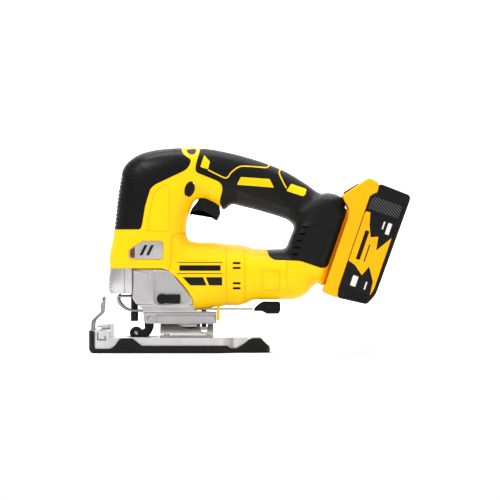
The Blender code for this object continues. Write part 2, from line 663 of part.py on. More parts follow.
def shoe_pieces():
    cover_profile = [
        (SHOE_FRONT, 0), (SHOE_FRONT, 22), (-154, 22), (-153.7, 4), (-137.7, 4), (-133.4, 6.4),
        (-128.6, 13.1), (-126.8, 14.3), (-115.3, 14.3), (-112.2, 11.8), (-106.2, 7), (-21.4, 7),
        (-18.9, 4.2), (-11.7, 4.2), (0.4, 13.1), (2.9, 14.3), (11.3, 14.3), (15, 10), (SHOE_REAR, 5.2),
        (SHOE_REAR, 0)]
    cover = plate(shoe_outline(), 0, 23, "Z")
    keep_inside(cover, across(cover_profile))
    pocket_front = SHOE_FRONT + 5.0
    pocket = plate(shoe_outline(COVER_WALL), SOLE, 40, "Z")
    keep_inside(pocket, box((pocket_front, -60, SOLE), (-1.0, 60, 40)))
    cut(cover, pocket, plate(shoe_slot(), -5, 40, "Z"))
    keep(cover, "shoe_cover", "black", (0, 0, BEVEL_Z))
    low = SOLE + GAP
    deck_profile = [(pocket_front + GAP, low), (pocket_front + GAP, 21.9), (-138, 21.9), (-138, DECK_Z),
                    (-1.0 - GAP, DECK_Z), (-1.0 - GAP, low)]
    deck = plate(shoe_outline(COVER_WALL + GAP), 0, 40, "Z")
    keep_inside(deck, across(deck_profile))
    cut(deck, plate(shoe_slot(GAP), -5, 40, "Z"))
    for side in (-1, 1):
        near, far = sorted((side * 2.5, side * 24))
        cut(deck, box((-84, near, 0), (-10, far, DECK_Z - 4)))
        near, far = sorted((side * 20, side * 36))
        cut(deck, box((-148, near, 0), (-90, far, DECK_Z - 4)))
    join(deck, box((-137.3, -38.5, DECK_Z - 1), (-134, -29.5, 29)))
    keep(deck, "shoe_plate", "cast", (0, 0, BEVEL_Z))
    arch_low = DECK_Z + GAP
    reach = ARCH_RADIUS
    steps = 14
    start = math.asin((arch_low - BEVEL_Z) / reach)
    angles = [start + (math.pi - 2 * start) * i / steps for i in range(steps + 1)]
    outer = [(reach * math.cos(a), BEVEL_Z + reach * math.sin(a)) for a in angles]
    inner_reach = reach - ARCH_WALL
    inner_start = math.asin((arch_low - BEVEL_Z) / inner_reach)
    inner_angles = [inner_start + (math.pi - 2 * inner_start) * i / steps for i in range(steps + 1)]
    inner = [(inner_reach * math.cos(a), BEVEL_Z + inner_reach * math.sin(a)) for a in inner_angles]
    bracket = plate(outer + inner[::-1], -89, -36.2, "X")
    for side in (-1, 1):
        near, far = sorted((side * (reach - 2.0), side * 29))
        join(bracket, box((-89, near, arch_low), (-36.2, far, arch_low + 1.6)))
    cut(bracket, box((BEVEL_BOLT_X - 3.5, -16.5, 17), (BEVEL_BOLT_X + 3.5, 16.5, 40)))
    places = [(-82, -25), (-82, 25), (-40, -25), (-40, 25)]
    for x, y in places:
        cut(bracket, rod((x, y, 10), (x, y, 20), 1.5 + GAP, sides=12))
        cut(deck, rod((x, y, 8), (x, y, 20), 1.5 + GAP, sides=12))
    keep(bracket, "shoe_bracket", "steel", (0, 0, BEVEL_Z))
    head = arch_low + 1.6 + GAP
    for number, (x, y) in enumerate(places, 1):
        screw = rod((x, y, head), (x, y, head + 1.4), 2.8, sides=12)
        join(screw, rod((x, y, 11.5), (x, y, head + 0.5), 1.5, sides=12))
        keep(screw, f"bracket_screw_{number}", "steel", (0, 0, BEVEL_Z))
    leg = [(-156.3, 22, 22.4), (-155.6, 22, 30.4), (-152.5, 22, 34.3), (-147.9, 22, 38.2),
           (-146.5, 22, 41), (-146.3, 21.5, 47.3), (-145.4, 18.5, 53.0), (-145, 14, 54.6)]
    loop = leg + [(x, -y, z) for x, y, z in reversed(leg)]
    keep(wire(loop, 1.3), "shoe_guard_wire", "chrome", (0, 0, BEVEL_Z))
    knob = rod((-146.5, -34, 26.2), (-137.7, -34, 26.2), 3.2, sides=18)
    join(knob, rod((-151.2, -34, 26.2), (-146, -34, 26.2), 1.3, sides=12))
    keep(knob, "fence_screw", "steel", (-140, -34, 26.2))


def guide_pieces():
    """Guide roller behind the blade, in the arm that the orbital action rocks."""
    x, z = ROLLER
    pivot_x, pivot_z = ROLLER_PIVOT
    tongue = [(-105.2, 33.0), (-103.4, 37.6), (-100.4, 39.0), (-97.2, 37.6), (-95.2, 33.0), (-95.8, 24.0),
              (-98.5, 18.0), (-103.0, 14.4), (-106.0, 14.4), (-106.4, 19.0), (-104.6, 22.0)]
    arm = plate(tongue, -TONGUE_HALF, TONGUE_HALF)
    cheek = [(-103.0, 14.4), (-99.0, 17.6), (-99.2, 23.0), (-104.0, 23.4), (-110.6, 20.8), (-115.6, 20.4),
             (-116.4, 17.0), (-113.2, 15.4)]
    for side in (-1, 1):
        near, far = sorted((side * (ROLLER_HALF + RUNNING), side * 5.6))
        join(arm, plate(cheek, near, far))
    join(arm, box((-104.0, -5.0, 15.6), (-100.0, 5.0, 22.0)))
    cut(arm, rod((pivot_x, -8, pivot_z), (pivot_x, 8, pivot_z), PIVOT_PIN_RADIUS + GAP, sides=16),
        rod((x, -8, z), (x, 8, z), 1.5 + GAP, sides=12))
    keep(arm, "roller_arm", "black", (pivot_x, 0, pivot_z))
    pin = rod((pivot_x, -6.3, pivot_z), (pivot_x, 6.3, pivot_z), PIVOT_PIN_RADIUS, sides=16)
    keep(pin, "roller_arm_pin", "chrome", (pivot_x, 0, pivot_z))
    roller = rod((x, -ROLLER_HALF, z), (x, ROLLER_HALF, z), ROLLER_RADIUS)
    cut(roller, rod((x, -8, z), (x, 8, z), 1.5 + GAP, sides=12))
    keep(roller, "guide_roller", "black", (x, 0, z))
    keep(rod((x, -5.4, z), (x, 5.4, z), 1.5, sides=12), "roller_axle", "chrome", (x, 0, z))


def lever_pieces():
    """Orbital action lever, and the bevel lever with its bolt and clamp nut."""
    x, z = ORBIT_PIVOT
    floor = -GEAR_CASE_HALF + RECESS_DEPTH
    lever = rod((x, -29.5, z), (x, floor - GAP, z), 5.1)
    join(lever, round_edges(box((x, -28.8, z - 4.4), (x + 18.2, floor - GAP, z + 4.4)), 1.0, 1),
         rod((x, floor - 1, z), (x, -13, z), 3.0, sides=16))
    keep(lever, "orbital_lever", "black", (x, 0, z))
    strip = [(BEVEL_BOLT_X, -6), (3.5, -6), (3.5, 6), (BEVEL_BOLT_X, 6)]
    arm = plate(strip, 41.6, 43.7, "Z")
    join(arm, rod((BEVEL_BOLT_X, 0, 41.6), (BEVEL_BOLT_X, 0, 43.7), 7.0))
    cut(arm, rod((BEVEL_BOLT_X, 0, 30), (BEVEL_BOLT_X, 0, 50), BEVEL_BOLT_RADIUS + GAP, sides=16))
    keep(arm, "bevel_lever", "steel", (BEVEL_BOLT_X, 0, 42))
    knob = [(3.5, 40.6), (4.6, 43.6), (6.2, 45.3), (9.9, 48.6), (13.6, 50.2), (29, 50.0), (30.6, 48.6),
            (30.6, 40.8), (28.6, 37.9), (17, 37.7), (12, 40.6)]
    grip = round_edges(plate([(px + 0.4, pz) for px, pz in knob], -9, 9), 1.5, 1)
    keep(grip, "bevel_knob", "black", (BEVEL_BOLT_X, 0, 42))
    bolt = rod((BEVEL_BOLT_X, 0, 21.6), (BEVEL_BOLT_X, 0, 43.9), BEVEL_BOLT_RADIUS, sides=16)
    join(bolt, rod((BEVEL_BOLT_X, 0, 43.95), (BEVEL_BOLT_X, 0, 45.0), 4.5, sides=16),
         rod((BEVEL_BOLT_X, 0, 43.0), (BEVEL_BOLT_X, 0, 44.4), BEVEL_BOLT_RADIUS, sides=16))
    keep(bolt, "bevel_bolt", "steel")
    nut = box((BEVEL_BOLT_X - 5.5, -3.5, 21.6), (BEVEL_BOLT_X + 5.5, 3.5, 24.6))
    cut(nut, rod((BEVEL_BOLT_X, 0, 10), (BEVEL_BOLT_X, 0, 40), BEVEL_BOLT_RADIUS + GAP, sides=16))
    keep(nut, "bevel_clamp_nut", "steel")
    leg = [(NOSE_X + 9.8, 9, 40.9), (-112, 9, 40.9), (-120.1, 12, 41.8), (-126, 16, 45), (-129.6, 18.5, 49),
           (-130.8, 20, 52.4), (-130.2, 19.4, 55.2), (-129.4, 17, GUARD_BOW_Z)]
    guard = wire(leg + [(px, -py, pz) for px, py, pz in reversed(leg)], GUARD_RADIUS)
    for side in (-1, 1):
        y = side * 19.2
        join(guard, rod((NOSE_X - 2 * GAP, y, 55.4), (-129.6, y, 55.4), GUARD_RADIUS, sides=12))
    keep(guard, "finger_guard", "chrome")


def battery_pieces():
    """Slide-on pack: yellow top case with the rail and head, black bottom case, cells and board."""
    top_outline = [
        (PACK_FACE, 81), (51, 79.6), (64.4, 79.4), (62.3, 90), (62.3, 187), (68.4, 191), (66.6, 200.6),
        (58, 202), (54.6, 201.4), (35.8, 178.1), (44.1, 172.5), (PACK_FACE, 168.6)]
    top = round_edges(plate(top_outline, -PACK_HALF, PACK_HALF), 2.2, 2)
    tray = box((PACK_FACE + PACK_WALL, -PACK_HALF + PACK_WALL, 83.5), (80, PACK_HALF - PACK_WALL, 185))
    rail = box((CHANNEL_FLOOR + 0.6, -RAIL_BLOCK_HALF, 92), (PACK_FACE + 1, RAIL_BLOCK_HALF, 166))
    cut(top, tray)
    join(top, rail)
    for y in (-9, 0, 9):
        cut(top, box((CHANNEL_FLOOR, y - 1, 80), (CHANNEL_FLOOR + 5.5, y + 1, 124)))
    face = Matrix.Translation((45.2 * MM, 0, 189.75 * MM)) @ Matrix.Rotation(math.radians(-51), 4, "Y")
    pocket = box((-13, -13, -6.5), (5, 13, 3))
    pocket.data.transform(face)
    cut(top, pocket)
    button = box((-12.5, -12.5, -3.2), (4.5, 12.5, 0.9))
    button.data.transform(face)
    keep(tilted(top), "battery_top_case", "yellow")
    keep(tilted(button), "battery_release", "black")
    bottom_outline = [
        (62.6, 97), (62.6, 186.8), (68.8, 190.6), (67.2, 200.2), (99.2, 198.9), (101, 195), (99.6, 100),
        (99.1, 94.2), (94.4, 82.8), (64.8, 79.5), (62.7, 90)]
    bottom = round_edges(plate(bottom_outline, -PACK_HALF + 0.2, PACK_HALF - 0.2), 2.2, 2)
    cut(bottom, box((55, -PACK_HALF + PACK_WALL, 86), (98.2, PACK_HALF - PACK_WALL, 185)))
    keep(tilted(bottom), "battery_bottom_case", "black")
    first_row = 69.6
    second_row = first_row + 2 * CELL_RADIUS + GAP
    last_along = CELL_FIRST + CELL_PITCH * (CELLS_ALONG - 1)
    pack = box((first_row, -4, CELL_FIRST), (second_row, 4, last_along))
    for row in (first_row, second_row):
        for index in range(CELLS_ALONG):
            along = CELL_FIRST + CELL_PITCH * index
            ends = [(row, y, along) for y in (-CELL_LENGTH / 2, CELL_LENGTH / 2)]
            join(pack, rod(*ends, CELL_RADIUS, sides=16))
    keep(tilted(pack), "battery_cells", "cell")
    keep(tilted(box((54, -25, 92), (55.6, 25, 172))), "battery_board", "board")


housing_pieces()
gear_case()
nose_lever()
badges()
plunger_pieces()
drive_pieces()
control_pieces()
shoe_pieces()
guide_pieces()
lever_pieces()
battery_pieces()
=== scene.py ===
"""Looks of a cordless top-handle jigsaw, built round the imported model.

Lengths are worked out in millimetres and put into the meshes in metres. Outlines are (x, z)
unless they say otherwise. +X points to the battery, +Z up, and the left side is -Y.
"""
import math

import bmesh
import bpy
import numpy as np
from mathutils import Matrix, Vector


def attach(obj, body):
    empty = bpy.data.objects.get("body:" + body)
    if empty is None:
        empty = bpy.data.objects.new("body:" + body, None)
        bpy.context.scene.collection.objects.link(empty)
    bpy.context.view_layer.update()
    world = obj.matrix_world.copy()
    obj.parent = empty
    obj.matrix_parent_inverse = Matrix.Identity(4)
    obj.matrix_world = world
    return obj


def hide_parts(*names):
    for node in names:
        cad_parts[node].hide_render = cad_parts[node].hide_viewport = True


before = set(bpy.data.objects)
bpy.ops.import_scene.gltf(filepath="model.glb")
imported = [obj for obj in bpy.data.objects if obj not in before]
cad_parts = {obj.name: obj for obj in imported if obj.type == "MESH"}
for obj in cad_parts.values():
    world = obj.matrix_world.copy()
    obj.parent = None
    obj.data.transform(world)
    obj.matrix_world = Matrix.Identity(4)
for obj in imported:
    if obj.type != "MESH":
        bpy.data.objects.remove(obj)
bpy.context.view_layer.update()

MM = 0.001
SIDES = ((-1, "left"), (1, "right"))
GAP = 0.3                 # air between pieces that touch
COLUMN_HALF = 28.5        # half widths: the front column,
BARREL_HALF = 31.0        # the motor barrel,
FOOT_HALF = 31.0          # the battery foot,
HANDLE_HALF = 18.5        # the top handle
CASE_HALF = 26.0          # and the casting
WALL = 4.0
SKIN = 1.6                # rubber over the plastic
PARTING_Z = 83.3          # plastic body above, casting below
NOSE_X = -116.3           # front of the casting
PLUNGER_X = -115.0
ORBIT_PIVOT = (-86.8, 53.0)
ROLLER_PIVOT = (-100.4, 34.5)
ROLLER = (-113.2, 18.6)
BEVEL_Z = 8.0             # height of the axis that the shoe tips about
BEVEL_BOLT_X = -45.5
ARCH_RADIUS, ARCH_WALL = 19.7, 2.5
DECK_Z = 14.9
SHOE_FRONT = -159.0
SHOE_REAR = 20.5
SHOE_HALF = 43.0
GUARD_RADIUS, LOOP_RADIUS = 1.3, 1.25
FENCE_SCREW = (-34, 26.2)
TILT = math.radians(19)   # lean of the battery
PACK_HALF = 37.5
PACK_WALL = 2.4
CUT_REACH = 70.0          # from the middle to beyond either side
BROAD = 15.0              # least area of a face that is shaded flat, in square millimetres

# Sections of the D-shaped body, from the hand opening out: x, z inside; x, z outside; half width; squareness
SECTIONS = np.array([
    (-63.0, 124.0, -134.3, 130.0, COLUMN_HALF, 2.6),
    (-63.2, 120.0, -136.8, 111.0, COLUMN_HALF, 2.6),
    (-62.6, 116.0, -139.8, 97.0, COLUMN_HALF, 2.8),
    (-61.5, 113.6, -140.0, 84.0, COLUMN_HALF, 3.0),
    (-60.0, 111.6, -140.0, 58.0, COLUMN_HALF - 0.5, 3.2),
    (-57.5, 110.4, -118.0, 40.0, COLUMN_HALF - 1.0, 3.4),
    (-52.0, 109.9, -90.0, 38.0, COLUMN_HALF - 0.5, 3.2),
    (-44.0, 109.7, -62.0, 40.0, BARREL_HALF - 1.5, 2.8),
    (-34.0, 109.2, -38.0, 43.5, BARREL_HALF - 0.5, 2.4),
    (-22.6, 107.8, -23.0, 46.0, BARREL_HALF, 2.2),
    (-11.7, 107.2, -11.0, 46.2, BARREL_HALF, 2.2),
    (-3.5, 105.7, -2.0, 48.8, BARREL_HALF, 2.2),
    (3.0, 103.6, 5.0, 51.6, BARREL_HALF, 2.2),
    (16.5, 102.4, 20.0, 51.9, BARREL_HALF, 2.2),
    (27.0, 102.5, 36.0, 51.9, BARREL_HALF, 2.2),
    (33.0, 102.8, 48.0, 53.0, BARREL_HALF - 0.5, 2.4),
    (36.0, 104.2, 57.0, 58.0, BARREL_HALF - 1.0, 2.6),
    (38.0, 107.5, 66.0, 67.2, FOOT_HALF - 1.0, 3.0),
    (39.3, 111.0, 74.6, 67.4, FOOT_HALF - 0.5, 4.0),
    (40.6, 114.0, 81.8, 88.2, FOOT_HALF, 4.5),
    (42.0, 117.5, 89.9, 111.8, FOOT_HALF, 4.5),
    (43.6, 121.5, 97.2, 133.2, FOOT_HALF, 4.0),
    (43.9, 124.8, 98.3, 141.5, FOOT_HALF - 1.0, 3.6),
    (42.8, 127.3, 91.0, 154.6, FOOT_HALF - 3.0, 3.2),
    (40.5, 129.6, 80.0, 158.6, FOOT_HALF - 5.0, 2.9),
    (37.0, 132.0, 69.5, 158.8, HANDLE_HALF + 4.5, 2.7),
    (31.5, 134.2, 56.0, 168.0, HANDLE_HALF + 2.0, 2.5),
    (20.0, 137.8, 36.0, 180.0, HANDLE_HALF, 2.3),
    (6.0, 141.8, 14.0, 189.0, HANDLE_HALF - 0.5, 2.3),
    (-8.0, 145.2, -9.0, 196.0, HANDLE_HALF - 0.5, 2.3),
    (-17.5, 147.0, -27.0, 200.2, HANDLE_HALF, 2.3),
    (-25.7, 142.0, -40.0, 202.4, HANDLE_HALF + 0.5, 2.3),
    (-34.0, 147.3, -52.0, 203.4, HANDLE_HALF + 1.5, 2.3),
    (-43.0, 151.8, -64.0, 203.7, HANDLE_HALF + 3.0, 2.3),
    (-50.0, 152.3, -78.0, 203.3, HANDLE_HALF + 4.5, 2.4),
    (-55.3, 149.0, -97.0, 201.0, COLUMN_HALF - 3.5, 2.4),
    (-58.0, 143.5, -113.0, 195.6, COLUMN_HALF - 2.0, 2.5),
    (-60.0, 138.0, -125.2, 184.6, COLUMN_HALF - 1.0, 2.5),
    (-61.5, 133.5, -129.0, 170.5, COLUMN_HALF - 0.5, 2.6),
    (-62.5, 129.0, -132.2, 150.0, COLUMN_HALF, 2.6),
])
PARTING = [(-86.8, PARTING_Z), (-80.7, 81.5), (-71.0, 73.0), (-62.6, 63.3), (-56.5, 53.6),
           (-55.3, 43.0), (-52.1, 40.8), (-33.0, 40.1)]
FRONT_GRIP = [(-150, 121.8), (-107.8, 121.8), (-106.0, 128.2), (-103.4, 144.6), (-98.3, 161.9),
              (-94.2, 166), (-70.7, 177.2), (-62.6, 181.3), (-59, 186.4), (-58, 191.5), (-61.5, 193.5),
              (-66.6, 197.6), (-69.7, 210), (-150, 210)]
HANDLE_GRIP = [(-48.5, 210), (-49.3, 200.7), (-53.4, 186.4), (-53.9, 181.3), (-52.4, 178.2), (-31.9, 170.1),
               (-27.9, 167), (-26.8, 161.9), (-29.9, 149.7), (-25.2, 134), (17.5, 112), (17.5, 100.7),
               (19.4, 95), (24.2, 91.6), (50, 90.7), (71, 83.5), (75.8, 84), (78.7, 87.3), (97.3, 141.5),
               (125, 150), (110, 210)]


# ---- surfaces on grids

def in_scene(thing):
    """Link a new object to the scene."""
    bpy.context.scene.collection.objects.link(thing)
    return thing


def mesh_of(points, faces):
    """Mesh in metres from points in millimetres and a list of faces."""
    mesh = bpy.data.meshes.new("piece")
    mesh.from_pydata((np.asarray(points) * MM).tolist(), [], faces)
    mesh.update()
    return in_scene(bpy.data.objects.new("piece", mesh))


def grid_faces(rows, columns, wrap_rows, wrap_columns):
    """Quads between the neighbours of a grid of points, closed round either way if asked."""
    a = np.arange(rows if wrap_rows else rows - 1)
    b = np.arange(columns if wrap_columns else columns - 1)
    a, b = np.meshgrid(a, b, indexing="ij")
    after, beside = (a + 1) % rows, (b + 1) % columns
    quads = [a * columns + b, a * columns + beside, after * columns + beside, after * columns + b]
    return np.stack(quads, -1).reshape(-1, 4).tolist()


def outward(piece):
    """Turn every face of a closed piece outwards."""
    shape = bmesh.new()
    shape.from_mesh(piece.data)
    bmesh.ops.recalc_face_normals(shape, faces=shape.faces)
    shape.to_mesh(piece.data)
    shape.free()
    return piece


def resampled(outline, corner=0.0, steps=5):
    """Closed outline with each corner swapped for a quadratic arc that starts corner before it and
    ends corner after it, limited to 0.45 of either side: the point at t is the Bezier of the three."""
    p = np.asarray(outline, float)
    if corner <= 0:
        return p
    before, after = np.roll(p, 1, 0), np.roll(p, -1, 0)
    back, ahead = before - p, after - p
    long_back = np.linalg.norm(back, axis=1, keepdims=True)
    long_ahead = np.linalg.norm(ahead, axis=1, keepdims=True)
    start = p + back / long_back * np.minimum(corner, long_back * 0.45)
    end = p + ahead / long_ahead * np.minimum(corner, long_ahead * 0.45)
    t = np.linspace(0, 1, steps)[None, :, None]
    arc = (1 - t) ** 2 * start[:, None] + 2 * t * (1 - t) * p[:, None] + t ** 2 * end[:, None]
    return arc.reshape(-1, 2)


def moved_in(outline, distance):
    """Closed outline offset inwards: each point goes along the sum of its two side normals,
    lengthened by 1 / (1 + cos of the turn) so that the sides stay parallel."""
    p = np.asarray(outline, float)
    side = np.roll(p, -1, 0) - p
    side /= np.maximum(np.linalg.norm(side, axis=1, keepdims=True), 1e-9)
    normal = np.stack([-side[:, 1], side[:, 0]], 1)
    x, y = p[:, 0], p[:, 1]
    area = np.sum(x * np.roll(y, -1) - y * np.roll(x, -1))
    normal *= np.sign(area)
    last = np.roll(normal, 1, 0)
    reach = 1 + np.sum(normal * last, 1, keepdims=True)
    return p + (normal + last) / np.maximum(reach, 0.5) * distance


def laid(flat, height, axis):
    """Points of an outline at a height: (x, z) at y, (x, y) at z, or (y, z) at x."""
    a, b = flat[:, 0], flat[:, 1]
    h = np.full_like(a, height)
    return {"Y": np.stack([a, h, b], 1), "Z": np.stack([a, b, h], 1), "X": np.stack([h, a, b], 1)}[axis]


def slab(outline, low, high, axis="Y", edge=0.8, corner=0.0, edge_steps=3):
    """Outline carried from low to high along an axis. Near both ends it moves inwards by
    edge * (1 - sin a) while it rises by edge * (1 - cos a), which rounds the rims."""
    flat = resampled(outline, corner)
    if edge > 0:
        turn = np.linspace(0, math.pi / 2, edge_steps + 1)
        inwards = edge * (1 - np.sin(turn))
        rise = edge * (1 - np.cos(turn))
        levels = [(i, low + r) for i, r in zip(inwards, rise)]
        levels += [(i, high - r) for i, r in zip(inwards[::-1], rise[::-1])]
    else:
        levels = [(0, low), (0, high)]
    rows = [laid(moved_in(flat, i) if i > 0 else flat, h, axis) for i, h in levels]
    count = len(flat)
    faces = grid_faces(len(rows), count, False, True)
    faces += [list(range(count)), list(range((len(rows) - 1) * count, len(rows) * count))]
    return outward(mesh_of(np.concatenate(rows), faces))


def box_outline(low_a, low_b, high_a, high_b):
    """The four corners of a rectangle."""
    return [(low_a, low_b), (high_a, low_b), (high_a, high_b), (low_a, high_b)]


def block(low, high, edge=0.8):
    """Box between two corners with rounded rims."""
    outline = box_outline(low[0], low[2], high[0], high[2])
    return slab(outline, low[1], high[1], "Y", edge, corner=edge)


def plain_box(low, high):
    return block(low, high, 0.0)


def on_side(side, near, far):
    """Lower and upper y of a piece between two distances from the middle, on one side."""
    return sorted((side * near, side * far))


def lathe(profile, start, axis, sides=48):
    """Profile of (distance along, radius) turned about a line: radius * (cos, sin) round the axis.
    Both ends of the profile lie on the line, and their rings are merged to one point."""
    along = np.asarray(axis, float)
    along /= np.linalg.norm(along)
    first = np.cross(along, (0, 0, 1.0) if abs(along[2]) < 0.9 else (1.0, 0, 0))
    first /= np.linalg.norm(first)
    second = np.cross(along, first)
    p = np.asarray(profile, float)
    turn = np.linspace(0, 2 * math.pi, sides, endpoint=False)
    ring = np.cos(turn)[:, None] * first + np.sin(turn)[:, None] * second
    body = p[1:-1]
    points = np.asarray(start) + body[:, None, :1] * along + body[:, None, 1:] * ring[None]
    points = points.reshape(-1, 3)
    ends = [np.asarray(start) + p[0, 0] * along, np.asarray(start) + p[-1, 0] * along]
    count = len(points)
    faces = grid_faces(len(body), sides, False, True)
    k = np.arange(sides)
    beside, last = (k + 1) % sides, (len(body) - 1) * sides
    faces += np.stack([np.full(sides, count), k, beside], 1).tolist()
    faces += np.stack([np.full(sides, count + 1), beside + last, k + last], 1).tolist()
    return outward(mesh_of(np.concatenate([points, ends]), faces))


def rod(start, end, radius, edge=0.3, sides=32):
    """Cylinder with chamfered rims between two points."""
    start, end = np.asarray(start, float), np.asarray(end, float)
    length = np.linalg.norm(end - start)
    profile = [(0, 0), (0, radius - edge), (edge, radius), (length - edge, radius), (length, radius - edge),
               (length, 0)]
    return lathe(profile, start, end - start, sides)


def smooth_path(points, steps=8, closed=False):
    """Catmull-Rom curve through points: the cubic blend of each four neighbours."""
    p = np.asarray(points, float)
    if closed:
        p = np.concatenate([p[-1:], p, p[:2]])
    else:
        p = np.concatenate([2 * p[:1] - p[1:2], p, 2 * p[-1:] - p[-2:-1]])
    a, b, c, d = p[:-3, None], p[1:-2, None], p[2:-1, None], p[3:, None]
    t = np.linspace(0, 1, steps, endpoint=False)[None, :, None]
    square, cube = 2 * a - 5 * b + 4 * c - d, 3 * b - a - 3 * c + d
    curve = (0.5 * (2 * b + (c - a) * t + square * t ** 2 + cube * t ** 3)).reshape(-1, p.shape[1])
    return curve if closed else np.concatenate([curve, p[-2:-1]])


def tube(points, radius, sides=16):
    """Round wire along a path: centre + radius * (cos u * side + sin u * up), with the frame
    at each point made square to the path's direction."""
    path = smooth_path(points)
    along = np.gradient(path, axis=0)
    along /= np.linalg.norm(along, axis=1, keepdims=True)
    up = np.array((1.0, 0.15, 0.35))
    side = np.cross(along, up)
    side /= np.linalg.norm(side, axis=1, keepdims=True)
    other = np.cross(side, along)
    u = np.linspace(0, 2 * math.pi, sides, endpoint=False)
    rings = path[:, None] + radius * (np.cos(u)[None, :, None] * side[:, None]
                                      + np.sin(u)[None, :, None] * other[:, None])
    faces = grid_faces(len(path), sides, False, True)
    faces += [list(range(sides)), list(range((len(path) - 1) * sides, len(path) * sides))]
    return outward(mesh_of(rings.reshape(-1, 3), faces))


def body_surface(inset=0.0, around=120, per_section=12):
    """Body skin on a ring-shaped grid. Round the ring the section values are Catmull-Rom blends;
    across it each point is centre + reach * c**(2/n) along the section and width * s**(2/n) in y,
    where c and s are cosine and sine kept with their signs."""
    rows = smooth_path(SECTIONS, per_section, closed=True)
    inner, outer, half, power = rows[:, 0:2], rows[:, 2:4], rows[:, 4], rows[:, 5]
    middle, reach = (inner + outer) / 2, (outer - inner) / 2
    length = np.linalg.norm(reach, axis=1)
    along = reach / length[:, None]
    turn = np.linspace(0, 2 * math.pi, around, endpoint=False)
    c, s = np.cos(turn)[None], np.sin(turn)[None]
    share = 2 / power[:, None]
    out = np.sign(c) * np.abs(c) ** share
    side = np.sign(s) * np.abs(s) ** share
    reach_grid = (length - inset)[:, None] * out
    x = middle[:, :1] + along[:, :1] * reach_grid
    z = middle[:, 1:] + along[:, 1:] * reach_grid
    y = (half - inset)[:, None] * side
    points = np.stack([x, y, z], -1)
    faces = grid_faces(len(rows), around, True, True)
    return outward(mesh_of(points.reshape(-1, 3), faces))


# ---- cutting and joining

def combine(piece, tools, operation):
    """Boolean of a piece with tools, which are used up."""
    for tool in tools:
        step = piece.modifiers.new("shape", "BOOLEAN")
        step.operation = operation
        step.solver = "MANIFOLD"
        step.object = tool
        graph = bpy.context.evaluated_depsgraph_get()
        shape = bpy.data.meshes.new_from_object(piece.evaluated_get(graph))
        piece.modifiers.clear()
        piece.data = shape
        bpy.data.objects.remove(tool, do_unlink=True)
    return piece


def cut(piece, *tools):
    return combine(piece, tools, "DIFFERENCE")


def join(piece, *tools):
    return combine(piece, tools, "UNION")


def keep_inside(piece, *tools):
    return combine(piece, tools, "INTERSECT")


def copy_of(piece):
    twin = piece.copy()
    twin.data = piece.data.copy()
    return in_scene(twin)


def tilted(piece):
    """Turn a piece laid out as (across, y, along) into the battery's sloping frame."""
    piece.data.transform(Matrix.Rotation(TILT, 4, "Y"))
    return piece


def turned(piece, matrix):
    piece.data.transform(matrix)
    return piece


def flat_broad_faces(mesh):
    """Shade flat the faces that lie in one plane and cover more than BROAD square millimetres."""
    count = len(mesh.polygons)
    normal, centre, area = np.empty(count * 3), np.empty(count * 3), np.empty(count)
    mesh.polygons.foreach_get("normal", normal)
    mesh.polygons.foreach_get("center", centre)
    mesh.polygons.foreach_get("area", area)
    normal, centre = normal.reshape(-1, 3), centre.reshape(-1, 3) / MM
    plane = np.round(np.column_stack([normal * 150, np.sum(normal * centre, 1) * 10]))
    shared = np.unique(plane, axis=0, return_inverse=True)[1].ravel()
    broad = np.bincount(shared, area / MM ** 2)[shared] > BROAD
    mesh.polygons.foreach_set("use_smooth", ~broad)


def settle(piece, name, body, finish, *nodes, smooth=35):
    """Name a finished piece, give it its material and body, and let it stand for CAD nodes."""
    piece.name = name
    piece.data.materials.clear()
    piece.data.materials.append(FINISHES[finish])
    piece.data.shade_smooth()
    piece.data.set_sharp_from_angle(angle=math.radians(smooth))
    flat_broad_faces(piece.data)
    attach(piece, body)
    if nodes:
        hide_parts(*nodes)
    return piece


# ---- finishes

class Value:
    """One output socket of a finish, and the sums that can be made of it."""

    def __init__(self, finish, socket):
        self.finish = finish
        self.socket = socket

    def sum(self, operation, *parts):
        return self.finish.node("ShaderNodeMath", {"operation": operation}, dict(enumerate(parts)))

    def __add__(self, other):
        return self.sum("ADD", self, other)

    def __radd__(self, other):
        return self.sum("ADD", other, self)

    def __sub__(self, other):
        return self.sum("SUBTRACT", self, other)

    def __rsub__(self, other):
        return self.sum("SUBTRACT", other, self)

    def __mul__(self, other):
        return self.sum("MULTIPLY", self, other)

    def __rmul__(self, other):
        return self.sum("MULTIPLY", other, self)

    def ramp(self, low, high, to_low=0.0, to_high=1.0):
        """Smooth step from to_low to to_high while the value goes from low to high."""
        settings = {"interpolation_type": "SMOOTHSTEP"}
        return self.finish.node("ShaderNodeMapRange", settings,
                                {"Value": self, "From Min": low, "From Max": high,
                                 "To Min": to_low, "To Max": to_high})


